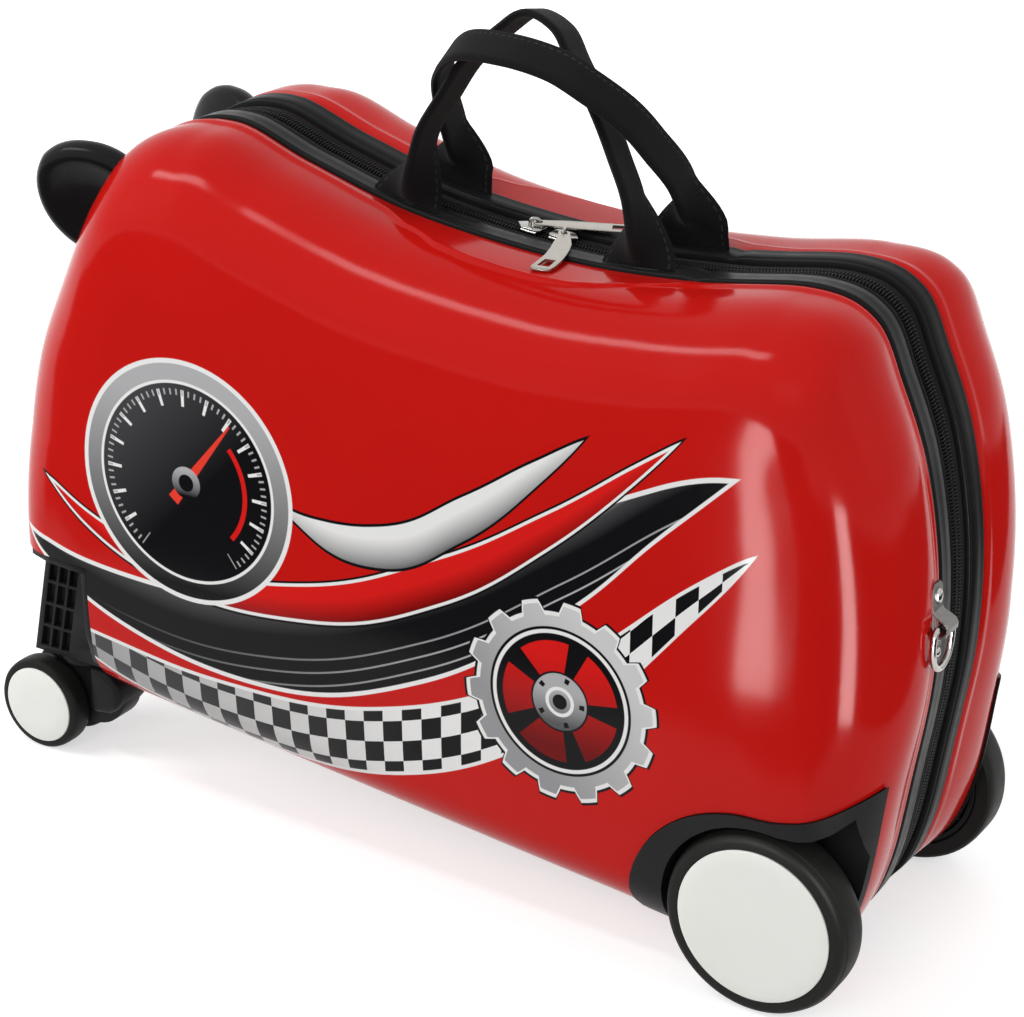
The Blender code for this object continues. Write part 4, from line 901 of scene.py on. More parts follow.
def beside(step, out, y):
    """The place this far out from one step of the side outline, at depth y."""
    p, n = SIDE[step % OUTLINE_STEPS], NORMALS[step % OUTLINE_STEPS]
    return Vector((p.x + n.x * out, y, p.y + n.y * out))


def outline_ring(out, y):
    return [beside(step, out, y) for step in range(OUTLINE_STEPS)]


def inward(point):
    """Direction from the side outline towards the spine of the case."""
    start, end = (p + Vector((CASE_SHIFT, 0.0)) for p in SPINE)
    along = end - start
    share = (point - start).dot(along) / along.length_squared
    nearest = start + along * min(max(share, 0.0), 1.0)
    return (nearest - point).normalized()


def crossings(axis, value):
    """Where the side outline meets one x (axis 0) or height (axis 1), and the normals there."""
    found = []
    for a, b, n in zip(SIDE, SIDE[1:] + SIDE[:1], NORMALS):
        if (a[axis] - value) * (b[axis] - value) <= 0 and a[axis] != b[axis]:
            found.append((a.lerp(b, (value - a[axis]) / (b[axis] - a[axis])), n))
    return found


def top_at(x):
    """Height of the top line of the case at x."""
    return max(place.y for place, _ in crossings(0, x))


def slope_at(x):
    step = 0.002
    return math.atan2(top_at(x - step) - top_at(x + step), 2 * step)


# How far the raised border beside the trim reaches, by place along the top.
BORDER = (
    (-0.1600, 0.0062), (-0.0600, 0.0066), (-0.0330, 0.0078), (-0.0120, 0.0150), (0.0070, 0.0215),
    (0.0230, 0.0235), (0.0380, 0.0242), (0.0520, 0.0240), (0.0660, 0.0230), (0.0780, 0.0200),
    (0.0900, 0.0155), (0.1010, 0.0108), (0.1120, 0.0068), (0.1370, 0.0040), (0.1760, 0.0036),
)
# How high the border stands and over what length it falls. A small lip runs along its edge, and
# it starts low at the trim.
BORDER_STEP, BORDER_FALL = 0.0009, 0.0034
LIP_HEIGHT, LIP_BACK, LIP_WIDTH = 0.00025, 0.0004, 0.0008
FOOT_SHARE, FOOT_WIDTH = 0.85, 0.0012
# How far up a normal points at least where the border's width goes by place.
UPWARD = 0.3


def eased(value):
    value = min(max(value, 0.0), 1.0)
    return value * value * (3 - 2 * value)


def border_at(point, normal):
    """Width of the raised border at one place of the outline."""
    for (x0, w0), (x1, w1) in zip(BORDER, BORDER[1:]):
        if normal.y >= UPWARD and x0 <= point.x <= x1:
            return w0 + (w1 - w0) * eased((point.x - x0) / (x1 - x0))
    return BORDER[0][1] if point.x < 0 else BORDER[-1][1]


def border_lift(distance, width):
    """How far the border raises the shell at one distance from the trim."""
    lift = BORDER_STEP * (1 - eased((distance - width) / BORDER_FALL))
    lift += LIP_HEIGHT * math.exp(-(((distance - width + LIP_BACK) / LIP_WIDTH) ** 2))
    return lift * (1 - FOOT_SHARE * eased(1 - distance / FOOT_WIDTH))


# Steps of a section up its side and round its edge, and from there to mid face.
EDGE_STEPS, CROWN_STEPS = 24, 12


def plain_section(p, n, grow):
    """Dense points of the half case's surface at one place, from the trim to mid face."""
    towards = inward(p)
    edge_y = TRIM_OUTER_Y + GAP
    rounding = SIDE_ROUNDING + (BOTTOM_ROUNDING - SIDE_ROUNDING) * max(towards.y, 0.0)
    swell = END_BULGE * abs(n.x)
    start_y = FACE_Y - rounding
    edge = p + n * swell
    flat = []
    for k in range(EDGE_STEPS + 1):
        t = k / EDGE_STEPS
        flat.append((p + n * (swell * (1 - (1 - t) ** 2)), edge_y + (start_y - edge_y) * t))
    for k in range(1, EDGE_STEPS + 1):
        turn = math.pi / 2 * k / EDGE_STEPS
        place = edge + towards * rounding * (1 - math.cos(turn))
        flat.append((place, start_y + rounding * math.sin(turn)))
    for k in range(1, CROWN_STEPS + 1):
        t = k / CROWN_STEPS
        place = edge + towards * (rounding + CROWN_INSET * t)
        flat.append((place, FACE_Y + FACE_CROWN * (1 - (1 - t) ** 2)))
    points = [Vector((q.x, -y, q.y)) for q, y in flat]
    side = Vector((-n.y, 0.0, n.x))
    return [q + side.cross(heading(points, i)).normalized() * grow for i, q in enumerate(points)]


# Points of a section beside the border's edge: distances from it, and the least step between
# them. The block for trimming ends a little in front of the middle plane.
NEAR_BORDER = (-0.0036, -0.0022, -0.0012, -0.0004, 0.0004, 0.0012, 0.0020, 0.0028, 0.0036, 0.0048)
NEAR_APART, FORM_BACK_Y = 0.0006, -0.004


def half_rings(grow=0.0, border=True, far_steps=26):
    """Rings round the front half, from the trim to mid face."""
    sections = []
    for p, n in zip(SIDE, NORMALS):
        line = plain_section(p, n, grow)
        width = border_at(p, n)
        total = running_length(line)[-1]
        distances = [0.0] + [max(width + d, NEAR_APART * (i + 1)) for i, d in enumerate(NEAR_BORDER)]
        last = distances[-1]
        distances += [last + (total - last) * (k + 1) / far_steps for k in range(far_steps)]
        side = Vector((-n.y, 0.0, n.x))
        ring = []
        for (q, along), distance in zip(resampled(line, distances), distances):
            lift = border_lift(distance, width) if border else 0.0
            ring.append(q + side.cross(along).normalized() * lift)
        sections.append(ring)
    return [[section[k] for section in sections] for k in range(len(sections[0]))]


def case_form(grow):
    """The front half as one closed block, grown by some margin, for trimming what seats on it."""
    return skinned("case_form", [outline_ring(grow, FORM_BACK_Y)] + half_rings(grow, False, 20))


# Shells, trims and zip
HOUSING_BACK_Y, HOUSING_PROUD = 0.0565, 0.0015
NICHE_CORNER = (-0.16218, -0.0297, 0.1140)
# Side view of the wheel housing, from the wheel's axle, and how far below the axle it ends.
HOUSING_SHAPE = (
    (-0.0452, -0.0509), (-0.0532, -0.0209), (-0.0587, -0.0089), (-0.0587, 0.0021),
    (-0.0547, 0.0151), (-0.0457, 0.0291), (-0.0312, 0.0406), (-0.0132, 0.0471), (0.0068, 0.0486),
    (0.0218, 0.0526), (0.0358, 0.0601), (0.0668, 0.0791),
)
HOUSING_DROP = 0.0509


def housing_block(name, grow, high_y):
    """The housing's side outline as a block from outside the case, closed far below it."""
    line = smooth_line(HOUSING_SHAPE, False, 44)
    moved = []
    for i, p in enumerate(line):
        along = heading(line, i)
        moved.append(p + Vector((-along.y, along.x)).normalized() * grow)
    moved.append(Vector((HOUSING_SHAPE[-1][0] + grow, -HOUSING_DROP - grow)))
    points = [(WHEEL_CENTRE.x + u, FAR_Y, WHEEL_CENTRE.z + v) for u, v in moved]
    return slab(name, points, (0.0, high_y - FAR_Y, 0.0))


def make_front_shell():
    """The printed half: a bowl with a wall, drawn from its inner floor round the rim to its face."""
    outer_y, inset = TRIM_OUTER_Y + GAP, RIM_INSET + WALL
    rims = ((inset, outer_y), (inset, RIM_END_Y), (RIM_INSET, RIM_END_Y), (RIM_INSET, outer_y))
    inner = half_rings(-WALL, border=False, far_steps=14)[3:]
    rings = inner[::-1] + [outline_ring(-out, -y) for out, y in rims] + half_rings()
    shell = skinned("front_shell", rings)
    cut_away(shell, housing_block("housing_hole", GAP, -HOUSING_BACK_Y + GAP))
    return cut_away(shell, block("bracket_hole", (-0.30, FAR_Y, FAR_LOW), NICHE_CORNER))


# Sections of the trim and of the zip's tape: distance from the middle plane and height over the
# outline.
TRIM_SHAPE = (
    (0.0084, -0.0012), (0.0084, 0.0008), (0.0087, 0.0013), (0.0092, 0.0015), (0.0097, 0.0013),
    (0.0099, 0.0008), (0.0101, 0.0013), (0.0105, 0.0016), (0.0110, 0.0014), (0.0112, 0.0009),
    (0.0115, 0.0014), (0.0120, 0.0017), (0.0160, 0.0018), (0.0196, 0.0017), (0.0204, 0.0019),
    (0.0211, 0.0018), (0.0217, 0.0014), (0.0221, 0.0008), (0.0222, 0.0000), (0.0221, -0.0012),
)
TAPE_SHAPE = (
    (0.0003, -0.0027), (0.0003, -0.0016), (0.0030, -0.0015), (0.0040, -0.0013), (0.0060, -0.0012),
    (0.0082, -0.0012), (0.0082, -0.0027),
)
SEAM_X, SEAM_DEPTH = 0.1150, 0.0009
# How far up a normal points at least on the top line, and at most on the flat underside.
TOP_UP, FLOOR_UP = 0.5, -0.97


def swept(name, section, first=0, last=OUTLINE_STEPS - 1, closed=False, lowered=None):
    """A band along the case. Its upper side can be lowered at one step."""
    steps = range(first, last + 1)
    rings = []
    for step in steps:
        drop = SEAM_DEPTH if step == lowered else 0.0
        rings.append([beside(step, out - drop if out > 0 else out, -y) for y, out in section])
    if closed:
        return skinned(name, rings, closed=True)
    lengths = running_length([SIDE[step % OUTLINE_STEPS] for step in steps])
    return skinned(name, rings, lengths=lengths, widths=running_length([*section, section[0]]))


def make_front_trim():
    """The trim's two ends meet at one place of the top, with a fine joint between them."""
    top = [i for i, n in enumerate(NORMALS) if n.y > TOP_UP]
    seam = min(top, key=lambda i: abs(SIDE[i].x - SEAM_X))
    return swept("front_trim", TRIM_SHAPE, closed=True, lowered=seam)


def zip_ends():
    """Steps where the zip starts and ends, at both sides of the flat underside with its hinge."""
    flat = [i for i, n in enumerate(NORMALS) if n.y < FLOOR_UP]
    return flat[-1], flat[0] + OUTLINE_STEPS


# One tooth of the coil: half width along the zip and height, at steps across it, and its
# section as shares of both.
TOOTH = (
    (0.0034, 0.00030, 0.00055), (0.0031, 0.00044, 0.00115), (0.0024, 0.00047, 0.00140),
    (0.0012, 0.00047, 0.00138), (0.0007, 0.00060, 0.00130), (0.0002, 0.00034, 0.00080),
)
TOOTH_ROUND = ((-1.0, 0.0), (-1.0, 0.55), (-0.5, 1.0), (0.5, 1.0), (1.0, 0.55), (1.0, 0.0))
TOOTH_PITCH, TOOTH_BASE, TOOTH_SLANT = 0.00150, -0.0015, 0.10


def make_front_teeth():
    """The coil: one small tooth after another along the tape, each slanted a little."""
    first, last = zip_ends()
    line = [beside(step, 0.0, 0.0) for step in range(first, last + 1)]
    count = int(running_length(line)[-1] / TOOTH_PITCH)
    points, faces = [], []
    for place, along in resampled(line, [TOOTH_PITCH * (k + 0.5) for k in range(count)]):
        up = Vector((-along.z, 0.0, along.x))
        faces += skin_faces(len(TOOTH), len(TOOTH_ROUND), base=len(points))
        for y, half, high in TOOTH:
            foot = place + Vector((0.0, -y, 0.0)) + along * (y * TOOTH_SLANT) + up * TOOTH_BASE
            points += [foot + along * half * u + up * high * v for u, v in TOOTH_ROUND]
    return mesh_of("front_zip_teeth", points, faces)


add_pair(make_front_shell(), PRINTED_RED, "front_half", 50, back_finish=SHELL_RED)
add_pair(make_front_trim(), TRIM_BLACK, "front_half", 55)
add_pair(swept("front_zip_tape", TAPE_SHAPE, *zip_ends()), TAPE_BLACK, "front_half", 40)
add_pair(make_front_teeth(), COIL_BLACK, "front_half", 60)


# Webbing loops
# Points of each loop's middle line, and how it folds: heights over the foot where that starts
# and ends.
FRONT_LOOP = (
    (-0.0290, -0.0180, 0.2835), (-0.0282, -0.0180, 0.2925), (-0.0222, -0.0165, 0.3121),
    (-0.0184, -0.0150, 0.3258), (-0.0116, -0.0110, 0.3392), (-0.0040, -0.0050, 0.3540),
    (0.0092, 0.0010, 0.3682), (0.0215, 0.0020, 0.3762), (0.0360, 0.0010, 0.3716),
    (0.0455, -0.0020, 0.3600), (0.0609, -0.0090, 0.3429), (0.0714, -0.0130, 0.3271),
    (0.0810, -0.0165, 0.3090), (0.0842, -0.0180, 0.2830), (0.0843, -0.0180, 0.2770),
)
BACK_LOOP = (
    (-0.0253, 0.0180, 0.2820), (-0.0251, 0.0180, 0.2903), (-0.0242, 0.0165, 0.3094),
    (-0.0238, 0.0120, 0.3208), (-0.0222, 0.0040, 0.3341), (-0.0168, -0.0060, 0.3506),
    (0.0012, -0.0195, 0.3642), (0.0266, -0.0250, 0.3669), (0.0470, -0.0235, 0.3634),
    (0.0611, -0.0225, 0.3572), (0.0750, -0.0140, 0.3451), (0.0827, -0.0050, 0.3319),
    (0.0888, 0.0100, 0.3118), (0.0904, 0.0180, 0.2837), (0.0905, 0.0180, 0.2770),
)
FRONT_FOLD, BACK_FOLD = (0.0010, 0.0270), (0.0090, 0.0250)
FRONT_LEAN, BACK_LEAN = math.radians(11), math.radians(-30)
LOOP_STEPS = 120
LOOP_HALF_WIDTH, LOOP_THICKNESS = 0.0168, 0.0013
EDGE_SHARE, INNER_GAP = 0.55, 0.00012
FOLD_BEND, FOLD_EASE = 0.0015, 0.4
STRAP_STEPS = 14


def strap_section(fold):
    """Section of a webbing strip folded about its middle: its outer skin, then its inner one."""
    step = LOOP_HALF_WIDTH / STRAP_STEPS
    u = v = 0.0
    spine = [(u, v, 0.0)]
    for k in range(1, STRAP_STEPS + 1):
        turn = fold * min((step * k - step / 2) / FOLD_BEND, 1.0)
        u += math.cos(turn) * step
        v += math.sin(turn) * step
        spine.append((u, v, turn))
    outer, inner = [], []
    for k, (a, b, turn) in enumerate(spine):
        thin = LOOP_THICKNESS / 2 * (EDGE_SHARE if k == STRAP_STEPS else 1.0)
        across, over = math.sin(turn) * thin, math.cos(turn) * thin
        outer.append((a + across, b - over))
        inner.append((max(a - across, INNER_GAP if k else 0.0), b + over))
    right = outer + inner[::-1]
    left = [(-a, b) for a, b in right[::-1]][1:-1]
    return [(a, b - v / 2) for a, b in right + left]


def fold_at(height, bounds):
    """How far the strip is folded at a height over its foot, so that it narrows evenly."""
    share = min(max((height - bounds[0]) / (bounds[1] - bounds[0]), 0.0), 1.0)
    return math.acos(1 - eased(share) * FOLD_EASE - share * (1 - FOLD_EASE))


def make_loop(name, points, lean, bounds):
    """A strip that stands flat against the trim at both feet and is folded shut between."""
    start, end = (top_at(points[i][0]) + TRIM_PROUD for i in (0, -1))
    path = smooth_line(points, False, LOOP_STEPS)
    across = Vector((0.0, math.cos(lean), -math.sin(lean)))
    rings = []
    for i, p in enumerate(path):
        share = i / (LOOP_STEPS - 1)
        fold = fold_at(p.z - start * (1 - share) - end * share, bounds)
        along = heading(path, i).normalized()
        side = along.cross(across).normalized()
        over = side.cross(along).normalized()
        rings.append([p + side * u + over * v for u, v in strap_section(fold)])
    flat = strap_section(0.0)
    loop = skinned(name, rings, lengths=running_length(path), widths=running_length([*flat, flat[0]]))
    plug = slab("case_plug", outline_ring(TRIM_PROUD + GAP, -TRIM_OUTER_Y), (0, 2 * TRIM_OUTER_Y, 0))
    return cut_away(loop, plug)


loop = make_loop("front_handle", FRONT_LOOP, FRONT_LEAN, FRONT_FOLD)
settle(loop, WEBBING_BLACK, "front_half", "front_handle", 60)
loop = make_loop("back_handle", BACK_LOOP, BACK_LEAN, BACK_FOLD)
settle(loop, WEBBING_BLACK, "back_half", "back_handle", 60)


# Horns
HORN = Vector((CASE_SHIFT - CASE_LENGTH / 2 + 0.0560, -0.0485, 0.2765))
HORN_SPLAY, HORN_TILT = math.radians(22), math.radians(38)
HORN_SHAPE = (
    (0.0000, 0.0030), (0.0080, 0.0031), (0.0150, 0.0038), (0.0200, 0.0052), (0.0232, 0.0062),
    (0.0258, 0.0062), (0.0280, 0.0050), (0.0294, 0.0028), (0.0300, 0.0000), (0.0296, -0.0026),
    (0.0282, -0.0048), (0.0250, -0.0064), (0.0180, -0.0076), (0.0090, -0.0080), (0.0000, -0.0080),
)
# How far below its top the horn is, from where its tail turns in, and how much it is drawn
# together and turned in.
HORN_TOP, HORN_TAIL = 0.0240, 0.020
HORN_SQUASH, HORN_TUCK = 0.13, 0.10


def make_front_horn():
    """A cupped ear that splays out of the shell's upper corner."""
    level = Vector((-math.cos(HORN_TILT), 0.0, math.sin(HORN_TILT)))
    reach = level * math.cos(HORN_SPLAY) + Vector((0.0, -math.sin(HORN_SPLAY), 0.0))
    slope = Vector((math.sin(HORN_TILT), 0.0, math.cos(HORN_TILT)))
    horn = turned("front_horn", HORN_SHAPE, HORN, slope.cross(reach), 72)
    top = HORN + slope * HORN_TOP
    for vertex in horn.data.vertices:
        down = (top - vertex.co).dot(slope)
        if down > 0:
            vertex.co += slope * down * HORN_SQUASH
            vertex.co -= reach * max(0.0, down - HORN_TAIL) * HORN_TUCK
    return cut_away(horn, case_form(GAP))


add_pair(make_front_horn(), HORN_BLACK, "front_half", 40)


# Big wheels and housings
TYRE_SHAPE = (
    (0.0344, 0.00775), (0.0344, 0.00925), (0.0347, 0.00955), (0.0374, 0.00955), (0.0387, 0.00915),
    (0.0397, 0.00815), (0.0402, 0.00690), (0.04035, 0.00600), (0.0406, 0.00565), (0.0409, 0.00500),
    (0.0409, -0.00500), (0.0407, -0.00740), (0.0401, -0.00880), (0.0390, -0.00955),
    (0.0336, -0.00955), (0.0331, -0.00920), (0.0329, -0.00880), (0.0329, 0.00775),
)
CAP_SHAPE = (
    (0.0, 0.00875), (0.0340, 0.00875), (0.0341, 0.00905), (0.0341, 0.00955), (0.0339, 0.00985),
    (0.0335, 0.01000), (0.0280, 0.01006), (0.0150, 0.01012), (0.0, 0.01015),
)
HUB_SHAPE = (
    (0.0, 0.00845), (0.0324, 0.00845), (0.0326, 0.00825), (0.0326, -0.00905), (0.0323, -0.00925),
    (0.0307, -0.00925), (0.0304, -0.00905), (0.0304, 0.00545), (0.0088, 0.00545), (0.0085, 0.00515),
    (0.0085, -0.00895), (0.0082, -0.00925), (0.0046, -0.00925), (0.0043, -0.00895),
    (0.0043, 0.00545), (0.0, 0.00545),
)
# Corners of the first rib, from the wheel's middle.
RIB_LOW, RIB_HIGH = Vector((0.0079, -0.0060, -0.0007)), Vector((0.0310, 0.0078, 0.0007))
RIB_COUNT = 12


def make_front_hub():
    """The hub, and flat ribs from its boss to its rim."""
    hub = turned("front_wheel_hub", HUB_SHAPE, WHEEL_CENTRE, steps=96)
    ribs = rounded(block("hub_ribs", WHEEL_CENTRE + RIB_LOW, WHEEL_CENTRE + RIB_HIGH), 0.0003, 2)
    edit_all(ribs)
    for _ in range(RIB_COUNT - 1):
        bpy.ops.mesh.duplicate()
        bpy.ops.transform.rotate(
            value=math.tau / RIB_COUNT,
            orient_axis="Y",
            orient_type="GLOBAL",
            center_override=WHEEL_CENTRE,
        )
    bpy.ops.object.mode_set(mode="OBJECT")
    return joined(hub, ribs)


tyre = turned("front_wheel_tyre", TYRE_SHAPE, WHEEL_CENTRE, steps=128, closed=True)
add_pair(tyre, TYRE_BLACK, "front_wheel", 30)
add_pair(make_front_hub(), HUB_BLACK, "front_wheel", 30)
cap = turned("front_wheel_cap", CAP_SHAPE, WHEEL_CENTRE, steps=128)
add_pair(cap, CAP_WHITE, "front_wheel", 30)

WELL_RADIUS, WELL_ARC, WELL_STEPS = 0.0435, math.radians(100), 32
WELL_RIGHT, PLATE_THICKNESS = 0.0440, 0.0035
BOSS_OVERLAP, BOSS_END_Y, BOSS_RADIUS = 0.0017, -0.0646, 0.0085
BORE_RADIUS = 0.0043
# Lower edge of the housing's flare, from the wheel's axle, up to the corner of its end plate.
LIP_SHAPE = ((0.0150, 0.0428), (0.0220, 0.0442), (0.0290, 0.0478), (0.0356, 0.0535))


def wheel_bar(name, start_y, end_y, radius, segments):
    """A round bar on the axis of the big wheel."""
    start, end = ((WHEEL_CENTRE.x, y, WHEEL_CENTRE.z) for y in (start_y, end_y))
    return bar(name, start, end, radius, segments)


def make_front_housing():
    """A fender that arches over the wheel, with a well that the wheel turns in."""
    housing = housing_block("front_wheel_housing", 0.0, -HOUSING_BACK_Y)
    use_other(housing, case_form(HOUSING_PROUD), "INTERSECT")
    angles = [math.pi - WELL_ARC * step / WELL_STEPS for step in range(WELL_STEPS + 1)]
    well = [(WELL_RADIUS * math.cos(angle), WELL_RADIUS * math.sin(angle)) for angle in angles]
    floor = FAR_LOW - WHEEL_CENTRE.z
    well = [(-WELL_RADIUS, floor), *well, *LIP_SHAPE, (WELL_RIGHT, 0.0), (WELL_RIGHT, floor)]
    points = [(WHEEL_CENTRE.x + u, FAR_Y, WHEEL_CENTRE.z + v) for u, v in well]
    depth = -HOUSING_BACK_Y - PLATE_THICKNESS - FAR_Y
    cut_away(housing, slab("wheel_well", points, (0.0, depth, 0.0)))
    joined(housing, wheel_bar("boss", -HOUSING_BACK_Y - BOSS_OVERLAP, BOSS_END_Y, BOSS_RADIUS, 48))
    return cut_away(housing, wheel_bar("bore", 0.0, FAR_Y, BORE_RADIUS, 32))


add_pair(make_front_housing(), HOUSING_BLACK, "front_half", 32)


# Caster brackets and casters
bracket = soften(cad_copy("front_bracket", "front_caster_bracket"), 0.00045, 2, 35.0)
add_pair(bracket, HOUSING_BLACK, "front_half", 35, "front_caster_bracket")

CASTER_TYRE = (
    (0.0192, 0.0047), (0.0192, 0.0057), (0.0194, 0.0060), (0.0208, 0.0060), (0.0219, 0.0056),
    (0.0226, 0.0046), (0.0229, 0.0032), (0.0230, 0.0016), (0.0230, -0.0024), (0.0228, -0.0042),
    (0.0222, -0.0055), (0.0212, -0.0060), (0.0179, -0.0060), (0.0175, -0.0056), (0.0175, 0.0047),
)
CASTER_CAP = (
    (0.0, 0.0052), (0.0189, 0.0052), (0.0190, 0.0056), (0.0190, 0.0060), (0.0188, 0.0063),
    (0.0184, 0.00645), (0.0100, 0.00650), (0.0, 0.00652),
)
CASTER_HUB = (
    (0.0, 0.0048), (0.0170, 0.0048), (0.0172, 0.0046), (0.0172, -0.0057), (0.0170, -0.0059),
    (0.0156, -0.0059), (0.0154, -0.0057), (0.0154, 0.0027), (0.0056, 0.0027), (0.0055, 0.0025),
    (0.0055, -0.0058), (0.0053, -0.0060), (0.0027, -0.0060), (0.0025, -0.0058), (0.0025, 0.0027),
    (0.0, 0.0027),
)
CASTER_APART = 0.0125

# The outer wheel of each pair faces -Y, the inner one +Y.
for wheel, side in (("outer", -1), ("inner", 1)):
    middle = CASTER_AXLE + Vector((0.0, side * CASTER_APART, 0.0))
    for node, shape, finish, slot_name in (
        ("tyre", CASTER_TYRE, TYRE_BLACK, "tyre_rubber"),
        ("hub", CASTER_HUB, HUB_BLACK, "black_plastic"),
        ("cap", CASTER_CAP, CAP_WHITE, "white_cap"),
    ):
        name = f"front_caster_{wheel}_{node}"
        piece = turned(name, shape, middle, (0.0, side, 0.0), 96, closed=node == "tyre")
        add_pair(piece, finish, f"front_caster_{wheel}_wheel", 30)


# Forks and rivets
FORK_SHAPE = (
    (0.0040, 0.0250), (0.0200, 0.0252), (0.0340, 0.0248), (0.0412, 0.0200), (0.0438, 0.0120),
    (0.0412, 0.0020), (0.0320, -0.0060), (0.0150, -0.0088), (0.0000, -0.0063), (-0.0058, -0.0025),
    (-0.0068, 0.0030), (-0.0040, 0.0100),
)
HOOD_SHAPE = (
    (0.0262, 0.0248), (0.0360, 0.0238), (0.0425, 0.0195), (0.0446, 0.0125), (0.0432, 0.0058),
    (0.0380, 0.0018), (0.0262, 0.0000),
)
HOOD_INSIDE = (
    (0.0200, 0.0215), (0.0350, 0.0208), (0.0402, 0.0170), (0.0418, 0.0115), (0.0405, 0.0070),
    (0.0370, -0.0200), (0.0200, -0.0200),
)
FORK_HALF, HOOD_HALF, HOOD_WALL = 0.0060, 0.0118, 0.0020
CROWN_SHAPE = (
    (0.0, 0.0462), (0.0112, 0.0462), (0.0120, 0.0465), (0.0125, 0.0471), (0.0125, 0.0489),
    (0.0121, 0.0495), (0.0114, 0.0497), (0.0044, 0.0497), (0.0042, 0.0495), (0.0042, 0.0480),
    (0.0, 0.0480),
)


def caster_slab(name, shape, half):
    """A side view from the caster's axle, as thick as its fork or hood."""
    points = [(CASTER_AXLE.x + u, CASTER_MIDDLE_Y - half, CASTER_AXLE.z + v) for u, v in shape]
    return slab(name, points, (0.0, 2 * half, 0.0))


def caster_bar(name, half, radius, segments=24):
    """A round bar on the caster's axle."""
    ends = (CASTER_MIDDLE_Y - half, CASTER_MIDDLE_Y + half)
    start, end = ((CASTER_AXLE.x, y, CASTER_AXLE.z) for y in ends)
    return bar(name, start, end, radius, segments)


def make_front_fork():
    """A hooded casting that hangs from its crown between the twin wheels."""
    fork = caster_slab("front_caster_fork", smooth_line(FORK_SHAPE, True, 72), FORK_HALF)
    hood = rounded(caster_slab("fork_hood", HOOD_SHAPE, HOOD_HALF), 0.0035, 5)
    inner = rounded(caster_slab("hood_inside", HOOD_INSIDE, HOOD_HALF - HOOD_WALL), 0.0015, 3)
    joined(fork, cut_away(hood, inner))
    joined(fork, caster_bar("axle_boss", FORK_HALF, 0.0055, 40))
    cut_away(fork, caster_bar("axle_hole", 0.02, 0.0025))
    rounded(fork, 0.0005, 2)
    return joined(fork, turned("fork_crown", CROWN_SHAPE, CASTER_STEM, (0.0, 0.0, 1.0), 64))


add_pair(make_front_fork(), HOUSING_BLACK, "front_caster", 35)

RIVET_DOME = (
    (0.0, 0.0012), (0.0008, 0.00115), (0.0015, 0.0009), (0.0019, 0.0005), (0.0020, 0.0),
    (0.0015, -0.0002), (0.0015, -0.0030), (0.0, -0.0030),
)
rivet = turned("front_bracket_rivet", RIVET_DOME, (-0.17919, -0.0580, 0.0610), steps=40)
add_pair(rivet, BRIGHT_STEEL, "front_half", 40)


# Sliders and pullers
def placed(obj, origin, along, up):
    """Moves a piece made on the world's axes to its own: along is its X, up its Z."""
    along, up = Vector(along).normalized(), Vector(up).normalized()
    across = up.cross(along).normalized()
    turn = Matrix((along, across, along.cross(across))).transposed().to_4x4()
    select_only(obj)
    obj.matrix_world = Matrix.Translation(origin) @ turn
    bpy.ops.object.transform_apply(location=True, rotation=True, scale=True)
    return obj


def rod(name, points, radius, flat=1.0, closed=False, sides=16):
    """A wire along a line. flat narrows it in the direction square to the line's plane."""
    points = [Vector(p) for p in points]
    normal = Vector((0.0, 0.0, 0.0))
    for a, b, c in zip(points, points[1:], points[2:]):
        normal += (b - a).cross(c - b)
    normal.normalize()
    rings = []
    for i, p in enumerate(points):
        side = normal.cross(heading(points, i, closed).normalized()).normalized()
        turns = [math.tau * k / sides for k in range(sides)]
        rings.append(
            [p + side * math.cos(t) * radius + normal * math.sin(t) * radius * flat for t in turns]
        )
    return skinned(name, rings, closed)


SLIDER_LOW, SLIDER_HIGH = 0.0007, 0.0023
# Lower half of the slider's outline from tail to nose, and one of its rolled sides.
SLIDER_SHAPE = (
    (-0.0066, 0.0), (-0.0056, -0.0011), (-0.0042, -0.0026), (-0.0026, -0.0041),
    (-0.0008, -0.0044), (0.0040, -0.0044), (0.0056, -0.0038), (0.0062, -0.0026),
)
ROLL_SHAPE = ((-0.0022, 0.0040, 0.0001), (0.0010, 0.00416, 0.0), (0.0050, 0.0040, 0.0))
ROLL_RADIUS = 0.00085
# The bridge's place along the slider, half its length, its top and its wire, and half its line.
BRIDGE_MIDDLE, BRIDGE_HALF, BRIDGE_PEAK, WIRE = 0.0015, 0.0027, 0.0059, 0.0008
BRIDGE_TOP, BRIDGE_FLAT = BRIDGE_PEAK - WIRE, 0.85
BRIDGE_LEG = (
    (0.0, SLIDER_HIGH - 0.0006), (0.0, BRIDGE_TOP - 0.0012), (0.0003, BRIDGE_TOP - 0.0004),
    (0.0010, BRIDGE_TOP),
)


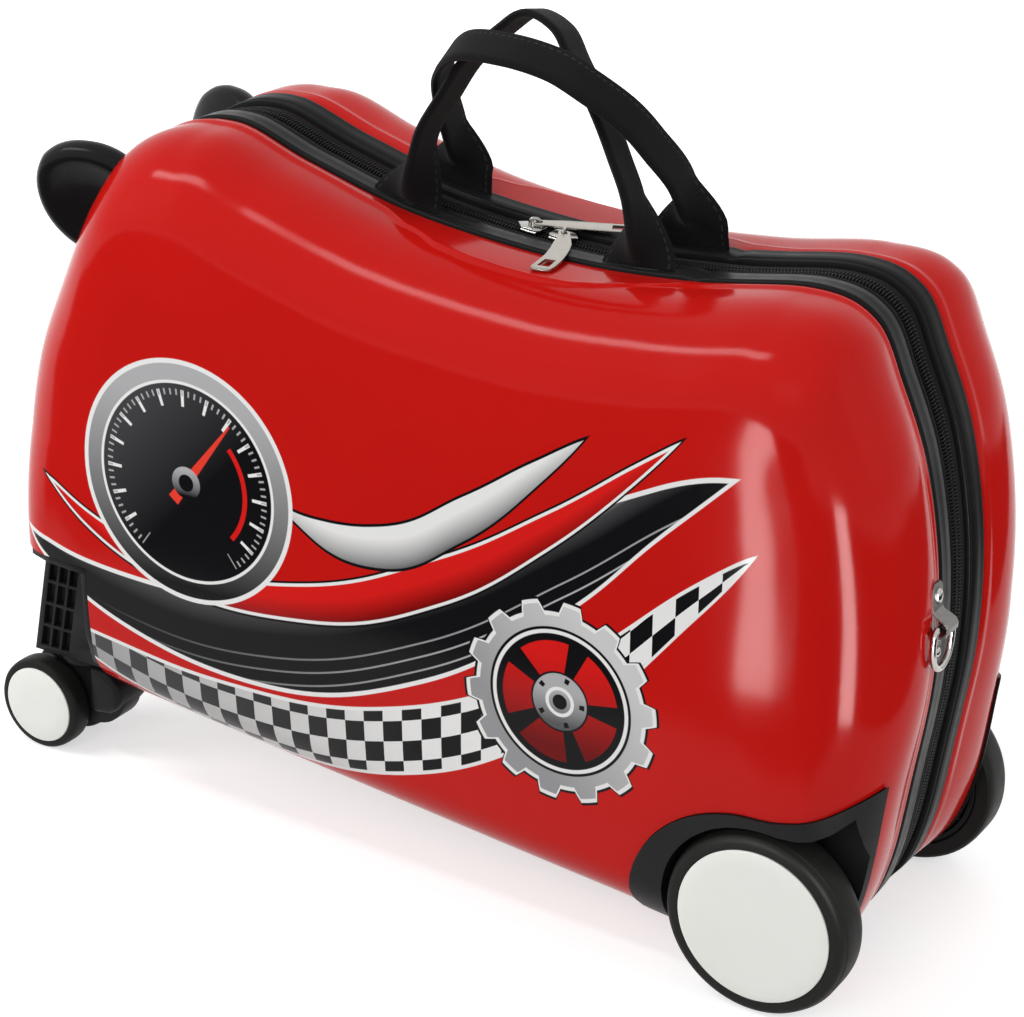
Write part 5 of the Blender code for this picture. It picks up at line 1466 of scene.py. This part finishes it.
def make_slider(name, x, facing, turn):
    """A slider body with its rolled sides, and a wire bridge that its puller hangs on."""
    outline = [*SLIDER_SHAPE, *((u, -v) for u, v in SLIDER_SHAPE[:0:-1])]
    points = [(u * facing, v, SLIDER_LOW) for u, v in outline]
    body = rounded(slab(name, points, (0.0, 0.0, SLIDER_HIGH - SLIDER_LOW)), 0.00045)
    for side in (-1, 1):
        line = [(u * facing, v * side, SLIDER_LOW + w) for u, v, w in ROLL_SHAPE]
        joined(body, rod("slider_side", line, ROLL_RADIUS, sides=12))
    half = BRIDGE_HALF - WIRE
    line = [(BRIDGE_MIDDLE - half + u, 0.0, w) for u, w in BRIDGE_LEG]
    line += [(BRIDGE_MIDDLE + half - u, 0.0, w) for u, w in BRIDGE_LEG[::-1]]
    across = Matrix.Rotation(turn, 3, "Z")
    bridge = [across @ p for p in smooth_line(line, False, 28)]
    joined(body, rod("slider_bridge", bridge, WIRE, BRIDGE_FLAT))
    slope = slope_at(x)
    along = (math.cos(slope), 0.0, -math.sin(slope))
    return placed(body, (x, 0.0, top_at(x)), along, (math.sin(slope), 0.0, math.cos(slope)))


# The puller's half width along it, and half the outlines of its eye and of its slot.
PULLER_LENGTH, PULLER_THICKNESS = 0.0440, 0.0012
PULLER_SHAPE = (
    (-0.0005, 0.0016), (-0.0001, 0.0022), (0.0008, 0.0026), (0.0040, 0.0027), (0.0080, 0.0031),
    (0.0130, 0.0039), (0.0200, 0.0041), (0.0270, 0.0042), (0.0320, 0.0044), (0.0390, 0.0045),
    (0.0418, 0.0043), (0.0432, 0.0035), (0.0438, 0.0022),
)
PULLER_EYE = ((0.00055, 0.0013), (0.00335, 0.0014))
PULLER_SLOT = ((0.0325, 0.0023), (0.0402, 0.0025))


def make_puller(name, bow, origin, along, axis):
    """A flat tab with an eye at its root and a slot at its tip. bow bends it within its plane."""

    def plate(plate_name, shape, thickness):
        """A plate from its half widths along the tab, which follows the tab's bend."""
        shares = [min(max(u / PULLER_LENGTH, 0.0), 1.0) for u, _ in shape]
        middles = [bow * 4 * share * (1 - share) for share in shares]
        left = [(u, m - v, -thickness / 2) for (u, v), m in zip(shape, middles)]
        right = [(u, m + v, -thickness / 2) for (u, v), m in zip(shape, middles)]
        return slab(plate_name, left + right[::-1], (0.0, 0.0, thickness))

    tab = rounded(plate(name, PULLER_SHAPE, PULLER_THICKNESS), 0.0003, 2)
    for shape in (PULLER_EYE, PULLER_SLOT):
        cut_away(tab, rounded(plate("puller_hole", shape, 0.006), 0.0005))
    return placed(tab, origin, along, Vector(axis).cross(Vector(along)))


# Each slider's place along the top, the way that it faces, and its bridge's turn.
for name, *values in (
    ("zip_slider_left", 0.022574, 1, math.radians(26)),
    ("zip_slider_right", 0.039074, -1, math.radians(-73)),
):
    settle(make_slider(name, *values), BRIGHT_STEEL, name, name, 40)

# Each puller's bow, the middle of its hinge, the way that it lies and its hinge's axis.
for name, *values in (
    (
        "zip_puller_left",
        0.0,
        (0.024191, 0.000636, 0.287885),
        (0.8981, 0.4380, -0.0408),
        (0.436439, -0.898794, -0.041115),
    ),
    (
        "zip_puller_right",
        0.0030,
        (0.039713, -0.001387, 0.286919),
        (0.2894, -0.9557, -0.0534),
        (-0.954373, -0.292372, 0.060753),
    ),
):
    settle(make_puller(name, *values), NICKEL, name, name, 40)


# Tow ring
TOW_Y = -0.0310
TOW_RING = Vector((0.23179, TOW_Y, 0.1680))


def wheel_end_at(z, y):
    """Place along X of the shell's wheel end at one height and depth."""
    place, n = max(crossings(1, z), key=lambda pair: pair[0].x)
    share = (abs(y) - TRIM_OUTER_Y) / (FACE_Y - SIDE_ROUNDING - TRIM_OUTER_Y)
    return place.x + END_BULGE * abs(n.x) * (1 - (1 - min(share, 1.0)) ** 2)


# Height and distance out from the shell of the strap plate's middle line, and its half width.
STRAP = (
    (0.1855, 0.0009, 0.0018), (0.1852, 0.0009, 0.0028), (0.1845, 0.0009, 0.0036),
    (0.1832, 0.0009, 0.0043), (0.1815, 0.0009, 0.0045), (0.1770, 0.0009, 0.0045),
    (0.1742, 0.0010, 0.0045), (0.1730, 0.0016, 0.0045), (0.1720, 0.0030, 0.0046),
    (0.1712, 0.0050, 0.0047), (0.1700, 0.0068, 0.0048), (0.1684, 0.0076, 0.0048),
    (0.1666, 0.0074, 0.0048), (0.1650, 0.0062, 0.0047), (0.1640, 0.0042, 0.0046),
    (0.1633, 0.0024, 0.0045), (0.1624, 0.0013, 0.0045), (0.1608, 0.0009, 0.0045),
    (0.1560, 0.0009, 0.0045), (0.1535, 0.0009, 0.0044), (0.1518, 0.0009, 0.0038),
    (0.1508, 0.0009, 0.0028), (0.1505, 0.0009, 0.0016),
)
STRAP_OUT, STRAP_HALF, STRAP_EDGE = 0.0009, 0.0006, 0.00025


def make_strap():
    """The plate on the wheel end: riveted flat at both ends, bent out round the ring's bar."""
    line = [Vector((wheel_end_at(z, TOW_Y) + out, TOW_Y, z)) for z, out, _ in STRAP]
    rings = []
    for i, (p, (_, _, half)) in enumerate(zip(line, STRAP)):
        along = heading(line, i).normalized()
        out = Vector((-along.z, 0.0, along.x))
        ring = []
        for side, face in ((-1, -1), (-1, 1), (1, 1), (1, -1)):
            corner = p + Vector((0.0, side * half, 0.0)) + out * face * STRAP_HALF
            inwards = Vector((0.0, -side * STRAP_EDGE, 0.0))
            pair = [corner - out * face * STRAP_EDGE, corner + inwards]
            ring += pair if side * face < 0 else pair[::-1]
        rings.append(ring)
    return skinned("tow_plate", rings)


settle(make_strap(), DULL_STEEL, "front_half", "tow_plate", 30)

TOW_RIVET = (
    (0.0, 0.0017), (0.0008, 0.00165), (0.0016, 0.0014), (0.0023, 0.0009), (0.0026, 0.0003),
    (0.0026, -0.0002), (0.0015, -0.0002), (0.0015, -0.0060), (0.0, -0.0060),
)
TOW_RIVET_NARROW = 0.92


def tow_rivet(name, z, stretch):
    """A domed rivet head, drawn out a little along the plate."""
    centre = (wheel_end_at(z, TOW_Y) + STRAP_OUT + STRAP_HALF, TOW_Y, z)
    rivet = turned(name, TOW_RIVET, centre, (1.0, 0.0, 0.0), 40)
    edit_all(rivet)
    bpy.ops.transform.resize(value=(1.0, TOW_RIVET_NARROW, stretch), center_override=centre)
    bpy.ops.object.mode_set(mode="OBJECT")
    return rivet


for name, z, stretch in (("tow_rivet_upper", 0.1796, 1.35), ("tow_rivet_lower", 0.1555, 1.0)):
    settle(tow_rivet(name, z, stretch), BRIGHT_STEEL, "front_half", name, 40)

RING_SHAPE = (
    (-0.0060, 0.0), (0.0060, 0.0), (0.0080, -0.0008), (0.0090, -0.0028), (0.0091, -0.0065),
    (0.0085, -0.0110), (0.0066, -0.0152), (0.0034, -0.0177), (0.0, -0.0184), (-0.0034, -0.0177),
    (-0.0066, -0.0152), (-0.0085, -0.0110), (-0.0091, -0.0065), (-0.0090, -0.0028),
    (-0.0080, -0.0008),
)

RING_WIRE, RING_FLAT = 0.00150, 0.87


def make_ring():
    line = smooth_line(RING_SHAPE, True, 96)
    points = [TOW_RING + Vector((0.0, p.x, p.y)) for p in line]
    return rod("tow_ring", points, RING_WIRE, RING_FLAT, closed=True, sides=18)


settle(make_ring(), BRIGHT_STEEL, "tow_ring", "tow_ring", 60)


# Pieces kept from the model
def wave_along(material, way):
    """A value that rises and falls along one axis."""
    sockets = {"Vector": place_on(material), "Scale": 900.0}
    made = add_node(material, "ShaderNodeTexWave", sockets, bands_direction=way)
    return Value(material, made.outputs["Fac"])


def lining_cloth():
    """Thin woven nylon, seen when the case is open."""
    material, shader = new_finish("lining_cloth", (0.045, 0.047, 0.052), 0.7, Sheen_Weight=0.2)
    weave = wave_along(material, "X") * wave_along(material, "Z")
    # The colour follows the weave's height and is darker in its dips: painted shade between the threads,
    # with some random tone from the noise.
    shade = weave.sum("ADD", grain(material, 30.0, 3.0) * 0.6, clamp=True)
    shade.mix((0.034, 0.036, 0.040), (0.060, 0.063, 0.070)).feed(shader, "Base Color")
    emboss(shader, weave, 0.0001)
    return material


def dress_kept(finish, slot_name, *nodes):
    for node in nodes:
        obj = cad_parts[node]
        for holder in obj.material_slots:
            holder.material = finish


LINING_CLOTH = lining_cloth()
dress_kept(LINING_CLOTH, "lining_cloth", "front_lining", "back_lining")
for node in ("horn_screw", "wheel_axle", "caster_stem", "caster_axle"):
    dress_kept(DULL_STEEL, "steel", "front_" + node, "back_" + node)
dress_kept(LINING_CLOTH, "zip_cloth", "hinge_strip")
